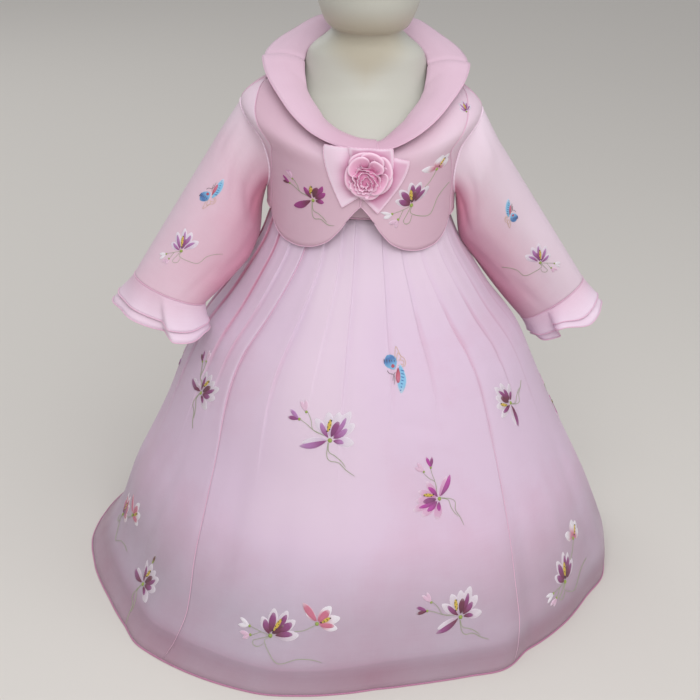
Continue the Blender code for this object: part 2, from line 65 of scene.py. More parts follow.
SKIRT_NAMES = ("z", "half_width", "half_depth", "shift_x")
SKIRT = (
    (0.000, 0.2835, 0.282, 0.000), (0.020, 0.2755, 0.274, 0.008), (0.050, 0.2635, 0.263, 0.013),
    (0.100, 0.2460, 0.243, 0.011), (0.140, 0.2280, 0.225, 0.0105), (0.180, 0.2095, 0.205, 0.009),
    (0.235, 0.1865, 0.182, 0.006), (0.280, 0.1655, 0.158, 0.005), (0.320, 0.1360, 0.130, 0.003),
    (0.350, 0.1170, 0.111, 0.002), (0.377, 0.1010, 0.094, 0.001), (0.400, 0.0920, 0.083, 0.000),
    (0.417, 0.0860, 0.076, 0.000),
)
HEM_NAMES = ("angle", "radius")
HEM = (
    (-180, 0.280), (-150, 0.281), (-120, 0.284), (-90, 0.286), (-78, 0.281), (-66, 0.279), (-53, 0.2855),
    (-44, 0.296), (-32, 0.2965), (-17, 0.296), (-8, 0.288), (1, 0.278), (8, 0.271), (18, 0.269), (27, 0.272),
    (35, 0.279), (45, 0.268), (58, 0.269), (70, 0.272), (82, 0.285), (90, 0.287), (120, 0.286), (150, 0.282),
    (180, 0.280),
)
# Each knife pleat: its angle at the waist, at z 0.30 and at the hem, its depth
# in mm, and the height where it has opened out. A seam runs in four of them.
PLEAT_NAMES = ("waist", "middle", "hem", "depth", "opens")
PLEATS = [dict(zip(PLEAT_NAMES, row)) for row in (
    (-88, -92, -93, 3.5, 0.20), (-72, -78, -80, 4.5, 0.20), (-57, -61, -66, 4.5, 0.22),
    (-44, -53, -53, 4.0, 0.25), (-32, -47, -38, 4.5, 0.20), (-20.5, -30, -27, 4.0, 0.22),
    (-10.5, -16, -16, 2.5, 0.28), (-2.8, -5.5, -6, 3.5, 0.22), (14, 10.3, 9, 3.0, 0.28),
    (25, 25, 23, 2.5, 0.28), (36.3, 43.5, 38, 4.0, 0.16), (51.5, 58, 54, 3.5, 0.24),
    (66, 70, 68, 4.0, 0.24), (80, 83, 82, 3.5, 0.24), (95, 96, 96, 3.5, 0.24),
    (110, 111, 110, 3.5, 0.24), (126, 126, 125, 3.5, 0.24), (141, 140, 140, 4.0, 0.20),
    (156, 155, 155, 3.5, 0.24), (172, 171, 171, 3.5, 0.24), (188, 188, 188, 3.5, 0.24),
    (204, 204, 204, 3.5, 0.24), (219, 220, 220, 4.0, 0.20), (234, 234, 234, 3.5, 0.24),
    (253, 251, 251, 3.5, 0.24),
)]
SEAM_PLEATS = (4, 10, 17, 22)

JACKET_NAMES = ("s", "half_width", "front", "back", "z_front", "z_side", "z_back")
JACKET = (
    (0.00, 0.0955, 0.0955, 0.083, 0.408, 0.408, 0.404), (0.14, 0.0955, 0.0955, 0.083, 0.427, 0.427, 0.425),
    (0.30, 0.0965, 0.0955, 0.084, 0.446, 0.447, 0.447), (0.50, 0.1030, 0.0940, 0.085, 0.466, 0.479, 0.476),
    (0.72, 0.1205, 0.0900, 0.083, 0.481, 0.513, 0.508), (0.88, 0.0970, 0.0815, 0.073, 0.4855, 0.536, 0.545),
    (1.00, 0.0700, 0.0725, 0.062, 0.4885, 0.543, 0.566),
)
SCALLOP = (
    (0, 0.4370), (3, 0.4320), (6, 0.4260), (12, 0.4110), (20, 0.3970), (30, 0.3895), (40, 0.3870), (50, 0.3882),
    (59, 0.3930), (66, 0.4020), (70, 0.4100), (90, 0.4100),
)
PRINCESS = ((0.0, 70), (0.25, 70), (0.45, 62), (0.60, 54), (0.72, 57), (0.80, 68), (0.88, 86), (1.0, 90))
ARM_MIDDLE, ARM_HEIGHT, ARM_SPREAD = 0.42, 0.30, 20.0

COLLAR_NAMES = ("angle", "roll_radius", "roll_z", "edge_radius", "edge_z")
COLLAR = (
    (-30, 0.0665, 0.5080, 0.0945, 0.5035), (-15, 0.0685, 0.5010, 0.0925, 0.4955),
    (0, 0.0690, 0.4970, 0.0920, 0.4925), (15, 0.0685, 0.5010, 0.0925, 0.4955),
    (30, 0.0665, 0.5080, 0.0945, 0.5035), (45, 0.0650, 0.5205, 0.0972, 0.5180),
    (60, 0.0637, 0.5310, 0.0985, 0.5345), (75, 0.0620, 0.5440, 0.1000, 0.5470),
    (90, 0.0612, 0.5545, 0.1005, 0.5565), (105, 0.0615, 0.5610, 0.0985, 0.5625),
    (125, 0.0597, 0.5685, 0.0925, 0.5715), (145, 0.0580, 0.5775, 0.0855, 0.5835),
    (180, 0.0560, 0.5850, 0.0800, 0.5900),
)
SLEEVE_NAMES = ("u", "top_x", "top_z", "under_x", "under_z", "half_depth", "shift_y")
SLEEVE = {
    "left": (
        (0.00, 0.1205, 0.5130, 0.0955, 0.4270, 0.032, 0.000),
        (0.14, 0.1385, 0.4890, 0.1005, 0.4030, 0.036, -0.004),
        (0.32, 0.1572, 0.4583, 0.1010, 0.3835, 0.038, -0.013),
        (0.52, 0.1771, 0.4254, 0.1080, 0.3622, 0.036, -0.027),
        (0.76, 0.2008, 0.3860, 0.1260, 0.3414, 0.032, -0.043),
        (1.00, 0.2243, 0.3470, 0.1528, 0.3180, 0.027, -0.062),
    ),
    "right": (
        (0.00, 0.1205, 0.5130, 0.0955, 0.4270, 0.032, 0.000),
        (0.14, 0.1325, 0.4870, 0.0985, 0.4045, 0.036, 0.003),
        (0.32, 0.1539, 0.4525, 0.1030, 0.3750, 0.037, 0.013),
        (0.52, 0.1790, 0.4136, 0.1240, 0.3420, 0.034, 0.024),
        (0.76, 0.2099, 0.3660, 0.1520, 0.3030, 0.031, 0.036),
        (1.00, 0.2418, 0.3172, 0.1785, 0.2700, 0.027, 0.047),
    ),
}
RUFFLE = {
    "top_length": 0.0245, "under_length": 0.017, "front_length": 0.0255,
    "top_flare": 0.0030, "under_flare": 0.0150, "front_flare": 0.010, "wave": 0.0045,
}
RUFFLE_LAYERS = {"upper": (1.0, 0.0), "lower": (1.38, 0.0025)}
# Where a frill's first fold lies, in degrees round the cuff, where each flat facet after it starts,
# and how much the frill flares under the cuff.
RUFFLE_FOLD = {"left": 86.0, "right": 106.0}
RUFFLE_FACETS = {"left": (0.0, 120.0, 240.0, 360.0), "right": (0.0, 178.0, 268.0, 360.0)}
RUFFLE_UNDER = {"left": 0.72, "right": -0.1}

FORM_NAMES = ("z", "half_width", "half_depth", "shift_y")
FORM = (
    (0.3620, 0.0600, 0.0530, 0.000), (0.3680, 0.0650, 0.0570, 0.000), (0.4000, 0.0720, 0.0620, 0.000),
    (0.4350, 0.0830, 0.0735, 0.000), (0.4620, 0.0884, 0.0768, 0.000), (0.4860, 0.0895, 0.0715, 0.000),
    (0.5060, 0.0865, 0.0610, 0.002), (0.5200, 0.0765, 0.0520, 0.004), (0.5310, 0.0675, 0.0450, 0.006),
    (0.5430, 0.0622, 0.0410, 0.007), (0.5540, 0.0602, 0.0390, 0.008), (0.5640, 0.0575, 0.0375, 0.008),
    (0.5720, 0.0510, 0.0360, 0.008), (0.5790, 0.0420, 0.0345, 0.008), (0.5880, 0.0345, 0.0340, 0.008),
    (0.5895, 0.0362, 0.0365, 0.006), (0.5935, 0.0405, 0.0430, 0.003), (0.6050, 0.0460, 0.0505, 0.001),
    (0.6220, 0.0510, 0.0570, 0.000), (0.6450, 0.0550, 0.0615, 0.000), (0.6700, 0.0560, 0.0635, 0.000),
    (0.6950, 0.0545, 0.0620, 0.001), (0.7180, 0.0490, 0.0565, 0.002), (0.7370, 0.0395, 0.0460, 0.003),
    (0.7500, 0.0270, 0.0320, 0.004), (0.7570, 0.0130, 0.0160, 0.004),
)
BODICE = ((0.4174, 0.0860, 0.0760), (0.4400, 0.0880, 0.0790), (0.4620, 0.0905, 0.0790), (0.4840, 0.0925, 0.0760))

# ---------------------------------------------------------------- creases laid in one by one
# Each row: p0, q0, p1, q1, width, depth. It runs from place p0, q0 to place p1, q1, width and
# depth are in mm, and a depth below 0 stands out. On the skirt p is the angle and q the height,
# on a sleeve the turn and the share of its length, on the collar the angle and the share across.
SKIRT_CREASES = (
    (12, 0.245, 27, 0.232, 7, 0.9), (16, 0.228, 30, 0.222, 6, -0.6), (42, 0.285, 60, 0.275, 6, 1.2),
    (44, 0.298, 58, 0.294, 6, -0.9), (-34, 0.20, -31, 0.06, 12, 1.6), (-44, 0.18, -41, 0.05, 10, -1.4),
    (-20, 0.17, -17, 0.03, 16, 1.2), (-2, 0.20, 2, 0.04, 20, -1.5), (15, 0.16, 14, 0.02, 18, 1.8),
    (30, 0.17, 29, 0.03, 14, -1.5), (45, 0.15, 44, 0.02, 12, 2.0), (58, 0.16, 60, 0.02, 13, -1.6),
    (-58, 0.17, -62, 0.03, 12, 1.8), (-72, 0.16, -75, 0.02, 13, -1.6), (-84, 0.17, -86, 0.02, 12, 1.8),
    (74, 0.17, 75, 0.02, 12, 1.8), (90, 0.15, 91, 0.02, 13, -1.6), (104, 0.18, 103, 0.02, 12, 1.9),
    (119, 0.16, 120, 0.03, 14, -1.6), (133, 0.17, 132, 0.02, 12, 1.6), (150, 0.16, 149, 0.02, 14, -1.7),
    (166, 0.18, 167, 0.03, 13, 1.8), (181, 0.16, 180, 0.02, 15, -1.6), (197, 0.17, 198, 0.03, 12, 1.7),
    (212, 0.16, 213, 0.02, 13, -1.5), (228, 0.18, 227, 0.03, 12, 1.8), (243, 0.16, 243, 0.02, 14, -1.6),
    (258, 0.17, 259, 0.02, 12, 1.6), (170, 0.240, 186, 0.234, 6, 0.9), (226, 0.262, 240, 0.270, 6, 1.0),
)


class Curve:
    """A smooth line through one column of a table."""

    def __init__(self, rows, column=1):
        self.at = [row[0] for row in rows]
        self.value = [row[column] for row in rows]
        slope = [(b - a) / (q - p) for a, b, p, q in zip(self.value, self.value[1:], self.at, self.at[1:])]
        self.lean = [slope[0]] + [
            0.0 if a * b <= 0 else 2 * a * b / (a + b) for a, b in zip(slope, slope[1:])
        ] + [slope[-1]]

    def __call__(self, x):
        at, value = self.at, self.value
        x = min(max(x, at[0]), at[-1])
        i = 0
        while i < len(at) - 2 and x > at[i + 1]:
            i += 1
        h = at[i + 1] - at[i]
        t = (x - at[i]) / h
        return (
            (2 * t**3 - 3 * t**2 + 1) * value[i] + (t**3 - 2 * t**2 + t) * h * self.lean[i]
            + (3 * t**2 - 2 * t**3) * value[i + 1] + (t**3 - t**2) * h * self.lean[i + 1]
        )


def curves(names, rows):
    return {name: Curve(rows, column) for column, name in enumerate(names) if column}


SKIRT_AT = curves(SKIRT_NAMES, SKIRT)
HEM_AT = curves(HEM_NAMES, HEM)["radius"]
JACKET_AT = curves(JACKET_NAMES, JACKET)
SCALLOP_AT = Curve(SCALLOP)
PRINCESS_AT = Curve(PRINCESS)
COLLAR_AT = curves(COLLAR_NAMES, COLLAR)
SLEEVE_AT = {side: curves(SLEEVE_NAMES, rows) for side, rows in SLEEVE.items()}
FORM_AT = curves(FORM_NAMES, FORM)
BODICE_AT = {"half_width": Curve(BODICE, 1), "half_depth": Curve(BODICE, 2)}


def smoothstep(a, b, x):
    t = min(max((x - a) / (b - a), 0.0), 1.0)
    return t * t * (3 - 2 * t)


def mix(a, b, t):
    return a + (b - a) * t


def wrap(angle):
    return (angle + 180.0) % 360.0 - 180.0


def full_turn(u):
    """The angle at share u of a closed piece, the same at both of its ends."""
    return 360.0 * (0.0 if u == 1.0 else u)


def hump(x, middle, width):
    """1 at the middle and near 0 two widths away."""
    return math.exp(-(((x - middle) / width) ** 2))


def blended(one, other, share):
    """A colour between two others."""
    return tuple(mix(a, b, share) for a, b in zip(one, other))


def outward(angle):
    """The level way out from the middle at an angle."""
    return Vector((math.sin(math.radians(angle)), -math.cos(math.radians(angle)), 0))


def on_ellipse(angle, half_width, half_depth):
    a = math.radians(angle)
    return half_width * math.sin(a), -half_depth * math.cos(a)


# A crease fades out over this share of its length past each end.
FADE = 0.3


def crease(p, q, rows, p_metre, q_metre, round_it=False):
    """How far the creases near a place sink the cloth, in metres."""
    sunk = 0.0
    for p0, q0, p1, q1, width, depth in rows:
        dp, run = (wrap(p - p0), wrap(p1 - p0)) if round_it else (p - p0, p1 - p0)
        ax, ay, bx, by = dp * p_metre, (q - q0) * q_metre, run * p_metre, (q1 - q0) * q_metre
        length = math.hypot(bx, by)
        along = (ax * bx + ay * by) / (length * length)
        away = abs(ax * by - ay * bx) / length
        if -FADE <= along <= 1.0 + FADE and away <= width * 0.0025:
            ends = smoothstep(-FADE, FADE, along) * (1.0 - smoothstep(1.0 - FADE, 1.0 + FADE, along))
            sunk += depth * MM * ends * hump(away, 0.0, width * MM)
    return sunk


def through(a, b, c, d, t):
    """The value at share t between b and c on a smooth line through four values."""
    return 0.5 * (2 * b + (c - a) * t + (2 * a - 5 * b + 4 * c - d) * t * t + (3 * b - a - 3 * c + d) * t**3)


def level(point):
    """The level way out from the middle to a point."""
    return Vector((point.x, point.y, 0)).normalized()


def normal_of(surface, p, q, dp, dq):
    """The outward normal of surface(p, q) where p goes round to the viewer's right and q goes up."""
    return (surface(p + dp, q) - surface(p - dp, q)).cross(surface(p, q + dq) - surface(p, q - dq)).normalized()


# ---------------------------------------------------------------- surfaces
def pleat_angle(pleat, z):
    low = mix(pleat["hem"], pleat["middle"], smoothstep(0.0, 0.30, z))
    return mix(low, pleat["waist"], smoothstep(0.24, 0.43, z) ** 1.1)


# A folded edge: how far it rises and the cloth beside it sinks, in shares of the pleat's depth,
# how many degrees the drop takes, and over how many the rest fades.
EDGE_RISE, EDGE_SINK, EDGE_DROP, EDGE_SPREAD = 0.26, -0.30, 0.45, 2.6


def pleat_step(off):
    """A knife pleat's section: it rises to its folded edge at 0, then drops to the cloth under it."""
    if off <= 0.0:
        return EDGE_RISE * hump(off, 0.0, EDGE_SPREAD)
    if off < EDGE_DROP:
        return mix(EDGE_RISE, EDGE_SINK, off / EDGE_DROP)
    return EDGE_SINK * hump(off, EDGE_DROP, EDGE_SPREAD)


def pleat_open(pleat, z):
    """How far a pleat still stands at a height: 1 is folded, 0 opened out."""
    folded = smoothstep(pleat["opens"] - 0.06, pleat["opens"] + 0.09, z)
    return folded * (1.0 - 0.55 * smoothstep(0.395, 0.417, z))


def skirt_surface(angle, z, fine=True):
    """The outside of the skirt; fine adds the pleats' folded edges and the creases."""
    lobe = HEM_AT(wrap(angle)) / LOBE_RADIUS - 1.0
    swell = 1.0 + lobe * (1.0 - smoothstep(0.0, 0.21, z))
    out = 0.0
    if fine:
        for pleat in PLEATS:
            off = wrap(angle - pleat_angle(pleat, z))
            if -9 < off < 10:
                out += pleat["depth"] * MM * pleat_open(pleat, z) * pleat_step(off)
        if z < 0.31:
            radius = SKIRT_AT["half_width"](z)
            out -= crease(angle, z, SKIRT_CREASES, math.radians(radius), 1.15, True)
    x, y = on_ellipse(angle, SKIRT_AT["half_width"](z) * swell + out, SKIRT_AT["half_depth"](z) * swell + out)
    return Vector((x + SKIRT_AT["shift_x"](z), y, z))


def skirt_tone(angle, z):
    """How deep the colour lies: below 0 paler, as on a folded edge and where light is painted; above 1 the painted
    shade of a deep fold.
    """
    a = wrap(angle)
    # Painted shade low down and along the hem; painted light high on the left, left of the front and under the
    # jacket.
    tone = 0.18 * (1.0 - smoothstep(0.02, 0.20, z))
    tone -= 0.35 * smoothstep(-26, -42, a) * smoothstep(-80, -60, a) * smoothstep(0.26, 0.36, z)
    tone -= 0.80 * hump(a, -13.0, 15.0) * smoothstep(0.10, 0.17, z) * (1.0 - smoothstep(0.34, 0.40, z))
    tone += 0.45 * (1.0 - smoothstep(0.016, 0.034, z))
    tone -= 0.85 * smoothstep(0.30, 0.385, z) * smoothstep(-34, -18, a) * (1.0 - smoothstep(50, 90, a))
    # At each folded edge: a deeper strip where the cloth lies doubled behind it, a dark line of painted shade at the
    # sides and a fine line at the front.
    side = smoothstep(-48, -54, a) * smoothstep(-100, -80, a) + 0.6 * smoothstep(70, 95, abs(a))
    for pleat in PLEATS:
        off = wrap(angle - pleat_angle(pleat, z))
        if -1 < off < 9:
            width = mix(1.8, 4.6, smoothstep(0.24, 0.40, z))
            opened = pleat_open(pleat, z)
            tone += 0.34 * opened * smoothstep(-0.1, 0.3, off) * (1.0 - smoothstep(0.5 * width, width, off))
            tone += side * 1.35 * smoothstep(0.24, 0.36, z) * hump(off, 0.4, 0.55)
            folded = -0.45 if pleat is PLEATS[SEAM_PLEATS[0]] else 0.16
            tone += folded * opened * (1.0 - min(1.0, side)) * hump(off, -0.25, 0.33)
    return tone


def lining_surface(angle, z):
    """The lining hangs a little inside the skirt, further in towards the waist."""
    inset = mix(0.0036, 0.0082, smoothstep(0.10, 0.36, z))
    point = skirt_surface(angle, z, fine=False)
    shift = SKIRT_AT["shift_x"](z)
    plan = Vector((point.x - shift, point.y))
    plan *= 1.0 - inset / plan.length
    return Vector((plan.x + shift, plan.y, z))


def bodice_surface(angle, z):
    x, y = on_ellipse(angle, BODICE_AT["half_width"](z), BODICE_AT["half_depth"](z))
    return Vector((x, y, z))


def jacket_surface(angle, s):
    """The outside of the jacket's body at an angle, from its scalloped hem (s 0) to the neck (s 1)."""
    half_width = JACKET_AT["half_width"](s)
    angle = wrap(angle)
    front = math.cos(math.radians(angle))
    x, y = on_ellipse(angle, half_width, JACKET_AT["front" if front > 0 else "back"](s))
    z = mix(JACKET_AT["z_side"](s), JACKET_AT["z_front" if front > 0 else "z_back"](s), front * front)
    if front > 0 and s < 0.30:
        floor = mix(JACKET_AT["z_side"](0.0), JACKET_AT["z_front"](0.0), front * front)
        z += (SCALLOP_AT(abs(angle)) - floor) * (1.0 - s / 0.30) ** 1.5
    x -= 0.003 * smoothstep(0.3, 0.72, s) * (1.0 - smoothstep(0.72, 1.0, s))
    return Vector((x, y, z))


def armhole_angle(s, grow=0.0):
    """Half the armhole's width in degrees at a level; grow leaves room beside it."""
    k = (s - ARM_MIDDLE) / (ARM_HEIGHT + grow * 0.012)
    return (ARM_SPREAD + grow) * math.sqrt(max(0.0, 1.0 - k * k))


def armhole_point(side, turn):
    t = math.radians(turn)
    return jacket_surface(side * (90.0 - ARM_SPREAD * math.sin(t)), ARM_MIDDLE + ARM_HEIGHT * math.cos(t))


def sleeve_surface(side, turn, u, fine=True):
    """The outside of a sleeve: turn 0 is its top, 90 its front, 180 its underside."""
    at = SLEEVE_AT["left" if side < 0 else "right"]
    t = math.radians(turn)
    top = Vector((side * at["top_x"](u), 0, at["top_z"](u)))
    under = Vector((side * at["under_x"](u), 0, at["under_z"](u)))
    c, s = math.cos(t), math.sin(t)
    middle = (top + under) / 2
    ring = middle + (top - under) / 2 * c
    ring.y = at["shift_y"](u) - at["half_depth"](u) * math.copysign(abs(s) ** 0.92, s)
    if fine:
        out = Vector((ring.x - middle.x, ring.y - at["shift_y"](u), ring.z - middle.z))
        rows = SLEEVE_CREASES["left" if side < 0 else "right"]
        ring -= out.normalized() * crease(turn, u, rows, 0.0007, 0.20, True)
    edge = armhole_point(side, turn) + Vector((side * 0.0005, 0, 0))
    return edge.lerp(ring, smoothstep(0.0, 0.16, u))


SLEEVE_CREASES = {
    "left": (
        (62, 0.05, 88, 0.30, 5, 1.4), (95, 0.04, 118, 0.26, 6, 2.0), (112, 0.22, 100, 0.60, 7, -1.3),
        (135, 0.06, 128, 0.34, 5, 1.6), (148, 0.34, 132, 0.72, 6, 1.2), (30, 0.04, 36, 0.22, 5, 1.0),
        (80, 0.55, 92, 0.92, 8, 1.1), (55, 0.60, 66, 0.90, 8, -0.9), (118, 0.70, 112, 0.98, 5, 1.0),
        (250, 0.06, 236, 0.34, 6, 1.8), (282, 0.05, 270, 0.28, 6, 1.5), (225, 0.35, 240, 0.75, 7, -1.2),
        (265, 0.55, 258, 0.92, 8, 1.2), (300, 0.40, 292, 0.80, 8, 0.9), (205, 0.10, 210, 0.42, 5, 1.5),
    ),
    "right": (
        (58, 0.05, 80, 0.28, 6, 1.3), (92, 0.04, 112, 0.30, 6, 2.0), (110, 0.24, 96, 0.62, 8, -1.3),
        (138, 0.05, 130, 0.36, 5, 1.7), (146, 0.38, 128, 0.76, 6, 1.2), (28, 0.05, 38, 0.24, 5, 0.9),
        (74, 0.52, 84, 0.90, 8, 1.2), (50, 0.58, 58, 0.92, 8, -0.8), (116, 0.72, 106, 0.98, 5, 1.1),
        (252, 0.06, 238, 0.32, 6, 1.7), (284, 0.05, 268, 0.30, 6, 1.4), (228, 0.36, 238, 0.78, 7, -1.1),
        (268, 0.52, 256, 0.90, 8, 1.3), (302, 0.42, 294, 0.82, 8, 0.8), (206, 0.12, 212, 0.44, 5, 1.4),
    ),
}


def ruffle_surface(side, turn, v, layer):
    """A frill from the cuff (v 0) to its free edge (v 1)."""
    name = "left" if side < 0 else "right"
    rows = SLEEVE[name]
    size, (reach, inset) = RUFFLE, RUFFLE_LAYERS[layer]
    v *= reach
    t = math.radians(turn)
    cuff = sleeve_surface(side, turn, 1.0, fine=False)
    top = Vector((side * rows[-1][1], 0, rows[-1][2]))
    under = Vector((side * rows[-1][3], 0, rows[-1][4]))
    across = (top - under).normalized()
    along = Vector((across.z, 0, -across.x)) if across.x > 0 else Vector((-across.z, 0, across.x))
    middle = (top + under) / 2 + Vector((0, rows[-1][6], 0))
    out = (cuff - middle).normalized()
    share, face = (1 + math.cos(t)) / 2, math.sin(t) ** 2
    length = mix(mix(size["under_length"], size["top_length"], share), size["front_length"], face)
    flare = mix(mix(size["under_flare"] * RUFFLE_UNDER[name], size["top_flare"], share), size["front_flare"], face)
    place = RUFFLE_FOLD[name] + (18.0 * v if side < 0 else 0.0)
    gone, facets = (side * (place - turn)) % 360.0, RUFFLE_FACETS[name]
    first = max(i for i in range(3) if gone >= facets[i])
    phase = (gone - facets[first]) / (facets[first + 1] - facets[first])
    fold = 1.2 - 2.4 * phase**1.1
    if side < 0 and phase > 0.93:
        fold = mix(-1.02, 1.2, smoothstep(0.93, 1.0, phase))
    elif side > 0 and phase < 0.07:
        fold = mix(-1.2, 1.07, smoothstep(0.0, 0.07, phase))
    fold += 0.16 * math.sin(4 * math.pi * phase) + 0.05 * math.sin(9 * t + side)
    pinch = 0.0
    if side > 0 and wrap(turn - place) < 0:
        pinch = 0.62 * hump(wrap(turn - place + 12.0), 0.0, 17.0) * smoothstep(0.0, 5.0, place - turn)
    flare += size["wave"] * (fold + 1.2 * pinch)
    run = length * v * (1 + 0.05 * fold - pinch)
    return cuff + along * 0.0005 + along * run + out * (v * (0.75 + 0.25 * v) * flare - inset)


def collar_point(angle, share, sink=0.0):
    """Across the collar from its seam (0) over the roll to its edge (1)."""
    a = abs(wrap(angle))
    roll_radius, roll_z, edge_radius, edge_z = (COLLAR_AT[name](a) for name in COLLAR_NAMES[1:])
    roll_z -= 0.0042 * hump(wrap(angle), 12.0, 8.0)
    seam = jacket_surface(angle, 1.0)
    section = [(math.hypot(seam.x, seam.y), seam.z + 0.0009)]
    for part, lift in ((0.0, -0.0025), (0.10, 0.0012), (0.50, 0.0036), (1.0, 0.0)):
        section.append((mix(roll_radius, edge_radius, part), mix(roll_z, edge_z, part) + lift))
    here = share * 4.0
    i = min(int(here), 3)
    t = here - i
    quad = [section[max(i - 1, 0)], section[i], section[i + 1], section[min(i + 2, 4)]]

    def slope(a, b, c, d):
        curved = 2 * a - 5 * b + 4 * c - d
        return 0.5 * ((c - a) + 2 * curved * t + 3 * (3 * b - a - 3 * c + d) * t * t)

    (radius, run_r), (z, run_z) = ((through(*line, t), slope(*line)) for line in zip(*quad))
    size = math.hypot(run_r, run_z) or 1.0
    sink = sink + crease(wrap(angle), share, COLLAR_CREASES, 0.0014, 0.05)
    head = level(seam).lerp(outward(angle), smoothstep(0.0, 0.25, share)).normalized()
    return head * (radius + sink * run_z / size) + Vector((0, 0, z - sink * run_r / size))


COLLAR_CREASES = (
    (-91, 0.15, -93, 1.05, 3, 1.3), (-84, 0.45, -88, 0.95, 6, -0.8), (-62, 0.30, -74, 0.62, 4, 0.9),
    (-40, 0.28, -30, 0.60, 4, 0.6), (91, 0.15, 93, 1.05, 3, 1.2), (84, 0.45, 88, 0.95, 6, -0.7),
    (66, 0.30, 76, 0.62, 4, 0.8), (140, 0.40, 150, 0.95, 6, 0.9), (-142, 0.40, -150, 0.95, 6, 0.9),
    (176, 0.30, 170, 0.90, 7, -0.7), (38, 0.30, 30, 0.70, 5, 0.5),
)


def front_y(x):
    """How far forward the jacket's front lies where the ribbons rest on it."""
    radius = JACKET[0][1]
    return -radius * math.sqrt(max(0.0, 1.0 - (x / radius) ** 2))


# ---------------------------------------------------------------- shader maths
class Field:
    """A number that varies over the cloth, and the arithmetic on it."""

    def __init__(self, look, socket):
        self.look, self.socket = look, socket

    def _with(self, operation, *values):
        return Field(self.look, self.look.node("ShaderNodeMath", {"operation": operation}, values).outputs[0])

    def __add__(self, other):
        return self._with("ADD", self, other)

    def __sub__(self, other):
        return self._with("SUBTRACT", self, other)

    def __rsub__(self, other):
        return self._with("SUBTRACT", other, self)

    def __mul__(self, other):
        return self._with("MULTIPLY", self, other)

    def __truediv__(self, other):
        return self._with("DIVIDE", self, other)

    def held(self):
        """Kept between 0 and 1."""
        return Field(self.look, self.look.node("ShaderNodeClamp", {}, {"Value": self}).outputs[0])


class Look:
    """A material and the nodes that make it."""

    def __init__(self, name, colour=(1, 1, 1), **constants):
        self.material = bpy.data.materials.new(name)
        self.material.use_nodes = True
        self.tree = self.material.node_tree
        self.shader = self.tree.nodes["Principled BSDF"]
        self.shader.inputs["Base Color"].default_value = (*colour[:3], 1.0)
        for socket, value in constants.items():
            self.shader.inputs[socket.replace("_", " ")].default_value = value

    def node(self, kind, settings=None, values=None):
        """Any node: its settings are set first, then the values or links of its sockets."""
        node = self.tree.nodes.new(kind)
        for key, value in (settings or {}).items():
            setattr(node, key, value)
        pairs = values.items() if isinstance(values, dict) else enumerate(values or [])
        for key, value in pairs:
            if isinstance(value, Field):
                self.tree.links.new(value.socket, node.inputs[key])
            elif isinstance(value, bpy.types.NodeSocket):
                self.tree.links.new(value, node.inputs[key])
            else:
                node.inputs[key].default_value = value
        return node

    def feed(self, socket, value):
        self.tree.links.new(value.socket if isinstance(value, Field) else value, self.shader.inputs[socket])

    def cloth_place(self, scale=(1, 1, 1)):
        uv = self.node("ShaderNodeUVMap", {"uv_map": "cloth"})
        return self.node("ShaderNodeMapping", {}, {"Vector": uv.outputs[0], "Scale": scale}).outputs[0]

    def object_place(self, scale=(1, 1, 1)):
        place = self.node("ShaderNodeTexCoord").outputs["Object"]
        return self.node("ShaderNodeMapping", {}, {"Vector": place, "Scale": scale}).outputs[0]

    def height(self):
        """How high the spot lies, in metres."""
        apart = self.node("ShaderNodeSeparateXYZ", {}, {"Vector": self.object_place()})
        return Field(self, apart.outputs["Z"])

    def noise(self, place, scale, detail=3.0, roughness=0.5):
        node = self.node(
            "ShaderNodeTexNoise", {}, {"Vector": place, "Scale": scale, "Detail": detail, "Roughness": roughness})
        return Field(self, node.outputs[0])

    def wave(self, place, scale, direction="X", warp=0.0):
        node = self.node(
            "ShaderNodeTexWave", {"wave_type": "BANDS", "bands_direction": direction},
            {"Vector": place, "Scale": scale, "Distortion": warp, "Detail": 2.0, "Detail Scale": 2.0})
        return Field(self, node.outputs["Fac"])

    def attribute(self, name, output="Fac"):
        node = self.node("ShaderNodeAttribute", {"attribute_name": name})
        return Field(self, node.outputs[output]) if output == "Fac" else node.outputs[output]

    def blend(self, share, one, other, kind="MIX"):
        """One colour or link turned into another by a share that may vary."""
        node = self.node("ShaderNodeMix", {"data_type": "RGBA", "blend_type": kind}, {0: share})
        for index, value in ((6, one), (7, other)):
            if isinstance(value, bpy.types.NodeSocket):
                self.tree.links.new(value, node.inputs[index])
            else:
                node.inputs[index].default_value = (*value[:3], 1.0)
        return node.outputs[2]

    def bump(self, height, strength, distance):
        node = self.node("ShaderNodeBump", {}, {"Strength": strength, "Distance": distance, "Height": height})
        self.feed("Normal", node.outputs[0])


# The painted shade in the depth of a fold, and its pinker kind painted on the thinner sleeves' shaded undersides.
WINE_SHADE, PINK_SHADE = (0.42, 0.10, 0.16), (0.95, 0.36, 0.50)
# Painted shade on the skirt near the floor: how much of each colour it keeps there.
LOW_PAINTED_SHADE = (0.76, 0.81, 0.785)


